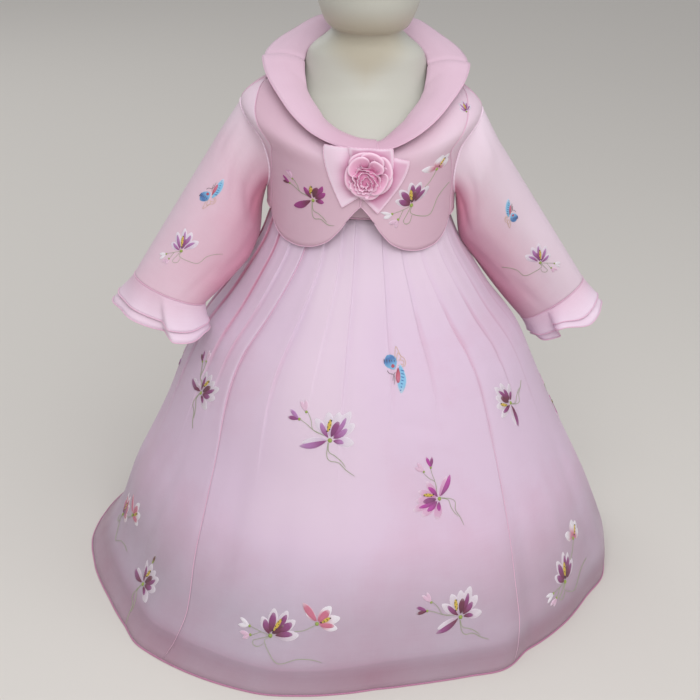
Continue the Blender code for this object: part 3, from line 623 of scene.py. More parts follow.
def woven(
        name, colour, deep, light, pitch, alpha=1.0, sheen=0.25, roughness=0.5, clouds=0.5,
        shade=WINE_SHADE, low=None):
    """A plain-weave cloth: crossed threads, slubs, soft clouds of colour, and the painted shade and
    painted light that the attribute "tone" lays on it, deeper in folds.

    Where alpha is None the attribute "cover" says how much the cloth hides; low paints shade on
    the cloth near the floor.
    """
    look = Look(
        name, colour, Alpha=1.0 if alpha is None else alpha, Sheen_Weight=sheen, Sheen_Roughness=0.35,
        Sheen_Tint=(1.0, 0.90, 0.96, 1.0), Specular_IOR_Level=0.35)
    place = look.cloth_place()
    bands = 1.0 / (pitch * 6.2832) * 3.1416
    warp, weft = (look.wave(place, bands, way, 0.6) for way in "XY")
    slubs = (
        look.noise(look.cloth_place((40, 900, 1)), 1.0, 3.0) * 0.6
        + look.noise(look.cloth_place((900, 40, 1)), 1.0, 3.0) * 0.4)
    drift = look.noise(look.object_place(), 7.0, 4.0, 0.55)
    close = look.noise(look.object_place(), 38.0, 3.0, 0.5)
    tone = look.attribute("tone")
    # The attribute tone holds doubled cloth and painted shade above 0 and painted light below 0; random clouds and
    # slubs are added to it.
    depth = (
        tone * 0.9 + (drift - 0.5) * clouds * 1.1 + (close - 0.5) * clouds * 0.30
        + (slubs - 0.5) * 0.22 + 0.05).held()
    cloth = look.blend(depth, colour, deep)
    # Painted light where tone lies below 0, mixed with the random clouds.
    clouds_and_painted_light = ((drift - 0.52) * 2.0 * clouds - tone).held()
    cloth = look.blend(clouds_and_painted_light * 0.8, cloth, light)
    cloth = look.blend((tone - 0.9).held() * 0.75, cloth, shade)
    threads = warp * weft
    cloth = look.blend(threads * 0.08, cloth, deep)
    # Painted shade near the floor.
    if low:
        shade_near_floor = ((0.135 - look.height()) / 0.070).held()
        cloth = look.blend(shade_near_floor, cloth, low, "MULTIPLY")
    look.feed("Base Color", cloth)
    if alpha is None:
        look.feed("Alpha", look.attribute("cover"))
    look.feed("Roughness", (slubs * 0.25 + (roughness - 0.12)).held())
    look.bump(threads * 0.6 + slubs * 0.4, 0.22, 0.0004)
    return look.material


def satin_thread(name):
    """Embroidery thread: the colour laid in each stitch, and fine shining ridges."""
    look = Look(name, (0.5, 0.2, 0.4), Sheen_Weight=0.08, Sheen_Roughness=0.3, Specular_IOR_Level=0.45)
    colour = look.attribute("thread", "Color")
    strands = look.wave(look.cloth_place(), 1.0 / 0.0011, "Y", 1.0)
    twist = look.noise(look.cloth_place((300, 1800, 1)), 1.0, 2.0)
    shade = look.blend((strands * 0.30 + twist * 0.25).held(), colour, (0.45, 0.36, 0.45), "MULTIPLY")
    shade = look.blend(twist * 0.08, shade, (1.0, 0.95, 0.98))
    look.feed("Base Color", shade)
    look.feed("Roughness", twist * 0.25 + 0.28)
    look.bump(strands, 0.35, 0.0003)
    return look.material


def bound_edge(name, colour, deep):
    """A narrow rolled edge, oversewn."""
    look = Look(name, colour, Sheen_Weight=0.3, Sheen_Roughness=0.35, Specular_IOR_Level=0.4)
    stitches = look.wave(look.object_place(), 180.0, "DIAGONAL", 0.5)
    drift = look.noise(look.object_place(), 30.0, 3.0)
    look.feed("Base Color", look.blend((stitches * 0.25 + drift * 0.35).held(), colour, deep))
    look.feed("Roughness", drift * 0.3 + 0.35)
    look.bump(stitches, 0.25, 0.0003)
    return look.material


CHIN_SHADE = (0.42, 0.34, 0.20)


def moulded(name, colour, shadow):
    """The form's matt painted shell, with a faint cast grain."""
    look = Look(name, colour, Specular_IOR_Level=0.45, Coat_Weight=0.12, Coat_Roughness=0.35)
    grain = look.noise(look.object_place(), 260.0, 4.0, 0.6)
    drift = look.noise(look.object_place(), 9.0, 3.0)
    shell = look.blend((drift * 0.5 + grain * 0.15).held(), colour, shadow)
    look.feed("Base Color", look.blend(look.attribute("tone") * 0.45, shell, CHIN_SHADE))
    look.feed("Roughness", grain * 0.12 + drift * 0.10 + 0.34)
    look.bump(grain, 0.10, 0.0004)
    return look.material


def brushed(name, colour):
    """Brushed metal, duller where it is worn."""
    look = Look(name, colour, Metallic=1.0)
    grain = look.noise(look.object_place((40, 40, 900)), 1.0, 3.0)
    wear = look.noise(look.object_place(), 20.0, 3.0)
    dull = tuple(c * 0.7 for c in colour[:3])
    look.feed("Base Color", look.blend((grain * 0.4 + wear * 0.3).held(), colour, dull))
    look.feed("Roughness", grain * 0.2 + wear * 0.15 + 0.22)
    look.bump(grain, 0.12, 0.0003)
    return look.material


def plain_floor(name, colour):
    """A matt floor with a faint drift of tone."""
    look = Look(name, colour, Specular_IOR_Level=0.2)
    drift = look.noise(look.object_place(), 1.5, 3.0)
    grain = look.noise(look.object_place(), 160.0, 2.0)
    look.feed("Base Color", look.blend((drift * 0.25).held(), colour, tuple(c * 0.93 for c in colour[:3])))
    look.feed("Roughness", grain * 0.1 + 0.75)
    return look.material


LOOKS, STEEL = {}, (0.60, 0.61, 0.63)


def look_of(name):
    """Each material is made once, from the colours in the sidebar."""
    if name not in LOOKS:
        c, pitch = bpy.context.scene.hanbok_colours, bpy.context.scene.hanbok_sizes.weave_pitch
        # Each cloth: its colour, its colour in a fold and in painted shade, its thread spacing, its cover and
        # clouds, and the rest.
        cloths = {
            "skirt_organza": (c.organza, c.organza_deep, 1.0, None, 0.80, {"low": LOW_PAINTED_SHADE}),
            "jacket_organza": (c.jacket, c.jacket_deep, 1.0, 0.82, 0.45, {}),
            "sleeve_organza": (c.sleeve, c.sleeve_deep, 1.0, 0.86, 0.50, {"shade": PINK_SHADE}),
            "lining": (c.lining, c.organza_deep, 0.8, 1.0, 0.35, {"roughness": 0.45}),
            "collar_organza": (c.collar, c.jacket_deep, 1.0, 0.96, 0.40, {"roughness": 0.42}),
            "frill_organza": (c.frill, c.sleeve_deep, 1.0, 0.80, 0.40, {}),
            "ribbon": (c.ribbon, c.ribbon_deep, 0.8, 0.94, 0.45, {"roughness": 0.38, "sheen": 0.5}),
            "rose_ribbon": (c.rose, c.rose_deep, 0.8, 1.0, 0.40, {"roughness": 0.36, "sheen": 0.5}),
        }
        edges = {
            "bound_edge": (c.edge, c.organza_deep), "seam_line": (c.seam, c.organza_deep),
            # The armhole line in the palest organza is painted light over the shade in the groove by the sleeve; the
            # hem's dark colour is painted shade where it meets the floor.
            "armhole_line": (c.organza_light, c.seam), "hem_edge": (c.hem, c.rose_deep),
            "ribbon_edge": (c.ribbon, c.rose_deep),
        }
        if name in cloths:
            colour, deep, spacing, alpha, clouds, rest = cloths[name]
            made = woven(name, colour, deep, c.organza_light, pitch * spacing, alpha, clouds=clouds, **rest)
        elif name in edges:
            made = bound_edge(name, *edges[name])
        elif name == "satin_thread":
            made = satin_thread(name)
        elif name == "form_shell":
            made = moulded(name, c.form, c.form_shadow)
        elif name == "form_steel":
            made = brushed(name, STEEL)
        else:
            made = plain_floor(name, c.floor)
        LOOKS[name] = made
    return LOOKS[name]


# ---------------------------------------------------------------- making pieces
def keep(name, shape, look, replaces=None, wall=0.0, flip=False):
    """Turns a bmesh into a finished piece that rides on the body, in place of a node if one is named."""
    if flip:
        bmesh.ops.reverse_faces(shape, faces=shape.faces[:])
    mesh = bpy.data.meshes.new(name)
    shape.to_mesh(mesh)
    shape.free()
    mesh.shade_smooth()
    mesh.materials.append(look_of(look))
    piece = bpy.data.objects.new(name, mesh)
    bpy.context.scene.collection.objects.link(piece)
    if wall:
        solidify = piece.modifiers.new("wall", "SOLIDIFY")
        solidify.thickness = wall
        solidify.offset = -1.0
        solidify.use_even_offset = False
    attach(piece, "root")
    if replaces:
        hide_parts(replaces)
    return piece


def grid_share(vert, across, up):
    """Where a new grid's corner lies, in shares across and up."""
    return round((vert.co.x + 0.5) * across) / across, round((vert.co.y + 0.5) * up) / up


def cloth_grid(across, up, place, span=(1.0, 1.0), closed=False, tone=None, cover=None):
    """A grid of faces laid on a surface: place, tone and cover take shares across and up, from 0 to 1."""
    shape = bmesh.new()
    bmesh.ops.create_grid(shape, x_segments=across, y_segments=up, size=0.5)
    uv = shape.loops.layers.uv.new("cloth")
    depth = shape.verts.layers.float.new("tone")
    if cover:
        covered = shape.verts.layers.float.new("cover")
    shares = [grid_share(v, across, up) for v in shape.verts]
    for index, vert in enumerate(shape.verts):
        vert.index = index
    for face in shape.faces:
        for loop in face.loops:
            u, v = shares[loop.vert.index]
            loop[uv].uv = (u * span[0], v * span[1])
    for vert, (u, v) in zip(shape.verts[:], shares):
        vert.co = place(u, v)
        if tone:
            vert[depth] = tone(u, v)
        if cover:
            vert[covered] = cover(u, v)
    if closed:
        bmesh.ops.remove_doubles(shape, verts=shape.verts[:], dist=0.00002)
    return shape


RIB_SIDES = 8


def rib(name, line, count, look="bound_edge", wide=0.0006, high=0.0006, closed=False):
    """A thin round edge or seam that runs along line(t), which gives a point and the way out of the cloth."""
    def place(u, v):
        t = 0.0 if closed and u == 1.0 else u
        step = 0.5 / count
        here, out = line(t)
        if closed:
            run = line((t + step) % 1.0)[0] - line((t - step) % 1.0)[0]
        else:
            run = line(min(t + step, 1.0))[0] - line(max(t - step, 0.0))[0]
        side = run.cross(out).normalized()
        up = side.cross(run).normalized()
        a = math.tau * (0.0 if v == 1.0 else v)
        taper = 1.0 if closed else min(1.0, 0.25 + 8.0 * min(t, 1.0 - t))
        return here + side * (wide * taper * math.cos(a)) + up * (high * taper * math.sin(a))

    shape = cloth_grid(count, RIB_SIDES, place, closed=True)
    if not closed:
        bmesh.ops.holes_fill(shape, edges=[e for e in shape.edges if e.is_boundary], sides=RIB_SIDES)
    bmesh.ops.recalc_face_normals(shape, faces=shape.faces[:])
    return keep(name, shape, look)


# How much larger each cut is than the cloth that shows, for its seams and hems.
ALLOWANCE = {"skirt": 1.04, "jacket": 1.05, "sleeve": 1.05, "frill": 1.1, "collar": 1.08, "ribbon": 1.02}
# Thickness in metres of the cloths that have none in the sidebar.
LINING_WALL, BODICE_WALL, ROLL_WALL, PETAL_WALL, RIBBON_WALL = 0.0005, 0.0006, 0.0003, 0.0004, 0.0007


def spread(piece):
    """The piece's one-side area."""
    return sum(face.area for face in piece.data.polygons)


def sheet_of(width, length, rests_on, area=None):
    """Turns what a cut piece of cloth rests on into a list; nothing is declared, and its width, length and area are
    not used.
    """
    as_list(rests_on)


# ---------------------------------------------------------------- embroidery
class Spot:
    """A place on a cloth surface with a flat chart round it, right and up, in metres."""

    def __init__(self, surface, p, q, dp, dq, turn=0.0, scale=1.0, mirror=False, inside_out=False):
        self.surface, self.p, self.q, self.dp, self.dq = surface, p, q, dp, dq
        self.sign = -1.0 if inside_out else 1.0
        run_p = (surface(p + dp, q) - surface(p - dp, q)) / (2 * dp)
        run_q = (surface(p, q + dq) - surface(p, q - dq)) / (2 * dq)
        out = (run_p.cross(run_q) * self.sign).normalized()
        up = (Vector((0, 0, 1)) - out * out.z).normalized()
        right = up.cross(out)
        a, b, c, d = run_p.dot(right), run_q.dot(right), run_p.dot(up), run_q.dot(up)
        det = a * d - b * c
        self.back = (d / det, -b / det, -c / det, a / det)
        turn = math.radians(turn)
        self.cos, self.sin = math.cos(turn) * scale * 0.001, math.sin(turn) * scale * 0.001
        self.mirror = -1.0 if mirror else 1.0

    def __call__(self, x, y, lift):
        """The point x mm right and y mm up in the motif's own turn, lifted off the cloth in mm."""
        x *= self.mirror
        right, up = x * self.cos - y * self.sin, x * self.sin + y * self.cos
        p = self.p + self.back[0] * right + self.back[1] * up
        q = self.q + self.back[2] * right + self.back[3] * up
        out = normal_of(self.surface, p, q, self.dp, self.dq) * self.sign
        return self.surface(p, q) + out * (lift * 0.001)


# How far a stitch's edge sinks into the cloth, in mm, and what a stem's does.
SUNK_EDGE, SUNK_STEM = -0.35, -0.3


class Stitching:
    """All the stitches on one piece of cloth."""

    def __init__(self):
        self.shape = bmesh.new()
        self.uv = self.shape.loops.layers.uv.new("cloth")
        self.thread = self.shape.verts.layers.float_color.new("thread")

    def patch(self, along, across, place, colour, size):
        made = bmesh.ops.create_grid(self.shape, x_segments=along, y_segments=across, size=0.5)["verts"]
        shares = {v: grid_share(v, along, across) for v in made}
        for face in {f for v in made for f in v.link_faces}:
            for loop in face.loops:
                u, v = shares[loop.vert]
                loop[self.uv].uv = (u * size[0], v * size[1])
        for vert, (u, v) in shares.items():
            vert.co = place(u, v)
            vert[self.thread] = (*colour(u, v), 1.0)

    def petal(self, spot, base, tip, half, body, deep, rim, bend=0.0, high=0.75):
        """A satin-stitched petal from its base to its tip, in mm, with a paler rim."""
        bx, by = base
        dx, dy = tip[0] - bx, tip[1] - by
        length = math.hypot(dx, dy)
        nx, ny = -dy / length, dx / length

        def place(u, v):
            w = 2 * v - 1
            width = half * 1.05 * math.sin(math.pi * u**1.12) ** 0.85 if 0 < u < 1 else 0.0
            curve = bend * math.sin(math.pi * u)
            x, y = bx + dx * u + nx * (curve + w * width), by + dy * u + ny * (curve + w * width)
            edge = abs(w) == 1.0 or u in (0.0, 1.0)
            return spot(x, y, SUNK_EDGE if edge else high * (1 - 0.45 * w * w))

        def colour(u, v):
            w = abs(2 * v - 1)
            inner = blended(deep, body, smoothstep(0.10, 0.75, u))
            edge = max(0.8 * smoothstep(0.72, 0.97, w), 0.65 * smoothstep(0.72, 0.99, u))
            return blended(inner, rim, edge)

        self.patch(8, 6, place, colour, (length * 0.001, half * 0.002))

    def stem(self, spot, points, half, colour, count=22):
        """A line of stem stitch through a few points, in mm."""
        line = [points[0], *points, points[-1]]

        def at(u):
            here = u * (len(points) - 1)
            i = min(int(here), len(points) - 2)
            t = here - i
            return [through(*values, t) for values in zip(*line[i:i + 4])]

        def place(u, v):
            (x, y), (x0, y0), (x1, y1) = at(u), at(max(u - 0.02, 0.0)), at(min(u + 0.02, 1.0))
            size = math.hypot(x1 - x0, y1 - y0) or 1.0
            w = (2 * v - 1) * half * (1.0 - 0.6 * smoothstep(0.8, 1.0, u))
            return spot(x - (y1 - y0) / size * w, y + (x1 - x0) / size * w, 0.5 if v == 0.5 else SUNK_STEM)

        self.patch(count, 2, place, lambda u, v: colour, (0.02, half * 0.002))

    def knot(self, spot, x, y, radius, colour, high=1.0):
        """A small round of close stitches."""
        def place(u, v):
            a, r = math.tau * (0.0 if u == 1.0 else u), radius * v
            return spot(x + r * math.cos(a), y + r * math.sin(a), high * (1 - v * v) + SUNK_EDGE * v**6)

        self.patch(8, 3, place, lambda u, v: tuple(c * (1.0 - 0.25 * v) for c in colour), (0.004, 0.002))

    def done(self, name):
        bmesh.ops.remove_doubles(self.shape, verts=self.shape.verts[:], dist=0.00001)
        return keep(name, self.shape, "satin_thread")


def thread(name):
    """The thread's colour from the sidebar."""
    return tuple(getattr(bpy.context.scene.hanbok_colours, "thread_" + name))


def threads(kind):
    """The threads of each kind of flower: its petals, their foot and their rim."""
    white, pale, plum, wine, magenta = (thread(name) for name in ("white", "pale", "plum", "wine", "magenta"))
    return {
        "orchid": (thread("lilac"), plum, white),
        "plum": (plum, wine, white),
        "magenta": (magenta, plum, pale),
        "garnet": (blended(magenta, wine, 0.4), wine, magenta),
        "rose": (thread("rose"), plum, white),
        "white": (white, pale, white),
    }[kind]


# The open lotus, in mm from its calyx: foot, tip, half width, which thread, and its bend.
LOTUS_BACKS = (
    (-2, 1, -28, -6, 4.0), (-1, 2, -18, 20, 5.2), (0, 3, -5, 28, 6.0), (4, 0, 24.5, -1, 5.8),
    (4, 3, 24, 18, 5.8), (2, 3, 19, 30, 5.8), (1, 3, 7, 29, 5.8),
)
LOTUS_PETALS = (
    (-2, 0, -30, -10, 3.7, "petal", 1.6), (-1.5, 2, -12, 17, 3.2, "petal", 0.8), (3, 0, 14.5, -2, 2.9, "petal", 0.6),
    (2.5, 3, 14.5, 24, 2.9, "petal", -1.0), (2.5, 2, 17, 13, 3.6, "petal", -0.8), (0.5, 3, 7, 20, 4.3, "foot", 0.0),
)
LOTUS_BUDS = (
    (-28, 24, -37, 34, "pale"), (-34, 16, -46, 24, "petal"), (-34, 16, -47, 16, "foot"), (-28, 24, -31, 36, "pale"),
)
LOTUS_TAILS = (
    ((-1.5, -2), (-1.5, -15), (2, -20), (10, -21), (18, -28), (26, -33)),
    ((-1, -3), (0, -11), (7, -15), (13, -20), (17, -25)),
)
# The upright flower that grows in pairs.
TULIP_BACKS = (
    (-1, 1, -12, 18, 5.4), (0, 2, 1, 29, 6.0), (4, 4, 16, 29, 5.2), (5, 4, 25, 20, 5.8), (3, 1, 30, 5, 6.2),
)
TULIP_PETALS = (
    (-1, 1, -8.5, 16, 4.2, "petal", 0.8), (-0.5, 2, 1, 25, 4.6, "petal", 0.0), (4, 6, 15.5, 25, 3.6, "petal", -0.6),
    (5, 5, 22, 17, 4.8, "petal", -0.8), (4, 1, 24, 5, 3.8, "petal", 0.9), (1, 2, 14, 14, 5.0, "foot", 0.0),
)
TULIP_BUDS = (
    (-23, 5, -36, 3, "white"), (-23, 5, -35, 11, "white"), (-20.5, -3.5, -33, -3, "pale"),
    (-20.5, -3.5, -28, -9, "pale"),
)
TULIP_TAILS = (
    ((-1, -2), (-5, -6), (2, -16), (15, -26), (31, -20), (45, -20), (56, -23)),
    ((-2, -1), (-10, -5), (-16, -8), (-15, -12), (-10, -13), (-5, -9)),
)

# The smaller flower on its own stalk beside the upright one.
SECOND_PETALS = (
    (46, 19, 61, 36, 6.0, "white"), (47, 18, 71, 24, 5.6, "white"), (47, 17, 68, 12, 5.0, "white"),
    (46, 19, 33, 33, 4.6, "white"), (46, 19, 30, 38, 4.2, "rose"), (47, 19, 59, 32, 4.8, "rose"),
    (48, 16, 65, 15, 3.2, "rose"),
)


def sew_flower(stitching, spot, kind, petals, backs):
    """A flower's pale back petals, then its coloured ones over them."""
    body, foot, rim = threads(kind)
    for bx, by, tx, ty, half in backs if kind != "garnet" else ():
        pale, deeper = blended(rim, body, 0.20), blended(rim, body, 0.50)
        stitching.petal(spot, (bx, by), (tx, ty), half, pale, deeper, thread("white"), high=0.40)
    slim = 1.15 if kind == "garnet" else 0.62 if kind == "orchid" and petals is TULIP_PETALS else 1.0
    for bx, by, tx, ty, half, part, bend in petals:
        tone, deep = (body, foot) if part == "petal" else (foot, tuple(0.7 * v for v in foot))
        stitching.petal(spot, (bx, by), (tx, ty), half * slim, tone, deep, blended(tone, rim, 0.42), bend, high=0.85)


def sew_stamens(stitching, spot, base, tip):
    """A gold middle with black knots on both sides."""
    gold, black = thread("gold"), (0.02, 0.015, 0.012)
    stitching.petal(spot, base, tip, 2.4, gold, gold, tuple(0.5 * v for v in gold), high=1.15)
    for k in range(6):
        t = 0.10 + 0.15 * k
        x, y = mix(base[0], tip[0], t), mix(base[1], tip[1], t)
        stitching.knot(spot, x + (0.95 if k % 2 else -0.95), y, 1.15, black, 1.5)


def sew_buds(stitching, spot, kind, rows):
    """Buds, each on a green knot: the foot, the tip and the thread of each."""
    body, foot, rim = threads(kind)
    for x, y, tx, ty, part in rows:
        tone = {"petal": body, "foot": foot}.get(part) or thread(part)
        stitching.petal(spot, (x, y), (tx, ty), 2.4, tone, tone, rim, high=0.7)
        stitching.knot(spot, x, y, 1.7, thread("green"), 1.0)


def sew_lotus(stitching, spot, kind, has):
    """The open flower with what the motif has."""
    stalk = thread("stem")
    if "t" in has:
        for tail in LOTUS_TAILS:
            stitching.stem(spot, tail, 0.55, stalk)
    if "b" in has:
        for x, y in ((-27, 25), (-35, 17)):
            bend = (mix(-18, x, 0.5) + 1, mix(8, y, 0.5))
            stitching.stem(spot, ((-6, 4), (-18, 8), bend, (x, y)), 0.45, stalk, 12)
        sew_buds(stitching, spot, kind, LOTUS_BUDS)
    if "u" in has:
        stitching.petal(spot, (-5, 26), (-6, 38), 2.0, threads(kind)[1], thread("green"), stalk, high=0.9)
    sew_flower(stitching, spot, kind, LOTUS_PETALS, LOTUS_BACKS)
    sew_stamens(stitching, spot, (-3, 7), (-1.5, 21))
    stitching.knot(spot, 0, 0, 2.6, thread("green"), 1.2)


def sew_tulip(stitching, spot, kind, has):
    """The upright flower with what the motif has."""
    stalk = thread("stem")
    if "t" in has:
        for tail in TULIP_TAILS:
            stitching.stem(spot, tail, 0.5, stalk, 26)
    if "b" in has:
        stitching.stem(spot, ((-1, 0), (-10, 2), (-22, 5)), 0.45, stalk, 10)
        stitching.stem(spot, ((-10, 2), (-15, -1), (-20, -4)), 0.45, stalk, 8)
        sew_buds(stitching, spot, kind, TULIP_BUDS)
    if "s" in has or "w" in has:
        stitching.stem(spot, ((24, 8), (34, 10), (45, 16)), 0.5, stalk, 10)
        for bx, by, tx, ty, half, tone in SECOND_PETALS:
            if "s" not in has:
                tx, ty, half = 46 + 0.85 * (tx - 46), 17 + 0.85 * (ty - 17), 1.25 * half
            body = thread(tone if "s" in has else "white")
            stitching.petal(
                spot, (bx, by), (tx, ty), half, body, thread("rose"), thread("white"),
                high=0.85 if tone == "rose" else 0.4)
        sew_stamens(stitching, spot, (50, 18), (60, 24))
        stitching.knot(spot, 46, 17, 2.4, thread("green"), 1.1)
    sew_flower(stitching, spot, kind, TULIP_PETALS, TULIP_BACKS)
    sew_stamens(stitching, spot, (2, 4), (10.5, 20))
    stitching.knot(spot, 0, 0, 2.6, thread("green"), 1.2)


# The feelers, in mm from the body.
FEELERS = (
    ((-1, 4), (0, 12), (1.5, 20), (4, 15), (6, 10), (9.5, 7), (10, 1), (6, -1), (2, 1)),
    ((1, 5), (3, 13), (6, 9), (3, 5)),
    ((4, 6), (8, 5), (8, 1), (5, 2)),
)


def sew_butterfly(stitching, spot):
    """A long sky wing that hangs, a round royal wing, red markings, and beige feelers that curl."""
    sky, royal, red, dark = thread("sky"), thread("royal"), thread("red"), (0.10, 0.07, 0.07)
    stitching.petal(spot, (4, 3), (4.5, -30), 5.0, sky, sky, thread("white"), 0.8, high=0.7)
    stitching.petal(spot, (-1.5, -4), (-8.5, 12.5), 7.4, royal, sky, sky, high=0.7)
    for k in range(7):
        y = -4 - 3.4 * k
        stitching.petal(spot, (3.6, y), (8.2 - 0.12 * k * k, y - 1.8), 0.7, royal, royal, royal, high=1.0)
    for k in range(5):
        x = -11.5 + 2.6 * k
        stitching.petal(spot, (x, 2.2 + 0.4 * k), (x - 0.6, 8.4 - 0.5 * k), 0.6, dark, royal, royal, high=1.0)
    stitching.petal(spot, (2, -1), (1.6, -19), 2.6, thread("rose"), red, red, high=1.05)
    stitching.knot(spot, -3.4, 0.0, 3.1, red, 1.25)
    stitching.stem(spot, ((-9, -4), (-7, -7), (-3, -8.5), (-1.5, -12), (-2.2, -19)), 0.4, dark, 12)
    stitching.stem(spot, ((-1, -6), (-3, -11), (-3.4, -15)), 0.35, dark, 8)
    for points in FEELERS:
        stitching.stem(spot, points, 0.5, thread("beige"), 22)


# The motifs on each cloth: the place, the motif, its threads, size, turn, mirrored, and what it has:
# b buds, t tails, u a bud above, s a smaller rose flower beside it, w the same in white.
MOTIFS = {
    "skirt_front": (
        (-8.3, 0.2280, "lotus", "orchid", 1.00, 0, False, "bt"),
        (21.8, 0.1733, "lotus", "magenta", 0.86, 75, True, "bt"),
        (-18.1, 0.0515, "tulip", "plum", 0.98, 0, False, "sbt"),
        (23.8, 0.0615, "lotus", "plum", 0.95, 9, False, "bt"),
        (13.2, 0.2925, "butterfly", "", 0.98, 0, False, ""),
    ),
    "skirt_side_left": (
        (-58.8, 0.2308, "lotus", "plum", 0.90, -28, False, "bt"),
        (-55.2, 0.0375, "lotus", "plum", 1.00, -20, False, "tu"),
        (-81.0, 0.0540, "tulip", "rose", 0.95, 8, False, "st"),
        (-104, 0.205, "lotus", "orchid", 0.95, -6, True, "bt"),
        (-124, 0.075, "lotus", "plum", 0.95, 10, False, "bt"),
        (-112, 0.292, "butterfly", "", 0.95, 15, False, ""),
    ),
    "skirt_side_right": (
        (55.6, 0.2367, "lotus", "plum", 0.85, 72, False, "t"),
        (57.8, 0.0485, "tulip", "plum", 1.00, 20, False, "wbt"),
        (98, 0.175, "lotus", "magenta", 0.80, 60, True, "bt"),
        (100, 0.046, "tulip", "plum", 0.90, 8, False, "sbt"),
        (116, 0.235, "lotus", "orchid", 0.95, 0, False, "bt"),
        (126, 0.085, "lotus", "plum", 0.92, -10, True, "bt"),
    ),
    "skirt_back": (
        (158, 0.215, "lotus", "orchid", 1.00, 5, False, "bt"),
        (194, 0.165, "lotus", "magenta", 0.80, 72, True, "bt"),
        (162, 0.048, "tulip", "plum", 0.95, 0, False, "sbt"),
        (205, 0.060, "lotus", "plum", 0.95, 8, False, "bt"),
        (183, 0.290, "butterfly", "", 0.98, -8, True, ""),
    ),
    "jacket_front_left": (
        (-29.0, 0.24, "lotus", "garnet", 0.84, 4, False, "bt"),
    ),
    "jacket_front_right": (
        (31.0, 0.23, "tulip", "plum", 0.94, 34, False, "wbt"),
    ),
    "jacket_side_right": (
        (65.5, 0.80, "tulip", "orchid", 0.40, 20, False, ""),
    ),
    "sleeve_left": (
        (60.0, 0.40, "butterfly", "", 0.76, 152, True, ""),
        (67.0, 0.74, "tulip", "orchid", 0.70, 22, False, "bt"),
        (300.0, 0.55, "tulip", "orchid", 0.70, -20, True, "bt"),
    ),
    "sleeve_right": (
        (67.0, 0.45, "butterfly", "", 0.68, 186, False, ""),
        (69.0, 0.75, "tulip", "orchid", 0.72, -18, True, "bt"),
        (300.0, 0.55, "tulip", "orchid", 0.70, 20, False, "bt"),
    ),
    "jacket_back": (
        (168.0, 0.40, "lotus", "orchid", 0.85, 0, False, "bt"),
        (212.0, 0.25, "butterfly", "", 0.70, 170, True, ""),
    ),
}


# The surface under each cloth's motifs, the steps that measure its lie, and whether it runs backwards.
CHARTS = {
    "skirt": (skirt_surface, 0.35, 0.0012, False),
    "jacket": (jacket_surface, 0.5, 0.01, False),
    "sleeve_left": (lambda p, q: sleeve_surface(-1, p, q), 1.0, 0.006, True),
    "sleeve_right": (lambda p, q: sleeve_surface(1, p, q), 1.0, 0.006, False),
}


def sew_motifs(cloth_name):
    """The embroidery on one piece of cloth, as a list of one piece or none."""
    if cloth_name not in MOTIFS:
        return []
    surface, dp, dq, inside_out = CHARTS.get(cloth_name) or CHARTS[cloth_name.split("_")[0]]
    stitching = Stitching()
    for p, q, motif, kind, scale, turn, mirror, has in MOTIFS[cloth_name]:
        spot = Spot(surface, p, q, dp, dq, turn, scale, mirror, inside_out)
        if motif == "butterfly":
            sew_butterfly(stitching, spot)
        else:
            (sew_lotus if motif == "lotus" else sew_tulip)(stitching, spot, kind, has)
    return [stitching.done("embroidery_" + cloth_name)]


# ---------------------------------------------------------------- sizes and colours in the sidebar
def colour_of(name, what, red, green, blue):
    """A colour given as it looks, in parts of 255."""
    def linear(value):
        value /= 255.0
        return value / 12.92 if value <= 0.04045 else ((value + 0.055) / 1.055) ** 2.4

    return FloatVectorProperty(
        name=name, description=what, subtype="COLOR", size=3, min=0.0, max=1.0,
        default=(linear(red), linear(green), linear(blue)))


def length_of(name, what, default, low, high):
    """A length in metres and its limits."""
    return FloatProperty(name=name, description=what, default=default, min=low, max=high, unit="LENGTH")


class HanbokSizes(bpy.types.PropertyGroup):
    weave_pitch: length_of("Thread spacing", "From one thread of the organza to the next", 0.00055, 0.0001, 0.005)
    cloth_wall: length_of("Cloth thickness", "Thickness of one layer of organza", 0.0004, 0.0001, 0.002)
    collar_wall: length_of("Collar thickness", "Thickness of the faced collar", 0.0009, 0.0002, 0.003)
    hem_cord: length_of("Skirt hem", "Radius of the skirt's rolled hem", 0.0008, 0.0003, 0.004)
    edge_cord: length_of(
        "Edge piping", "Radius of the rolled edges on jacket, frills and collar", 0.00045, 0.0002, 0.003)
    floor_side: length_of("Floor", "Length of the floor's side", 16.0, 2.0, 50.0)


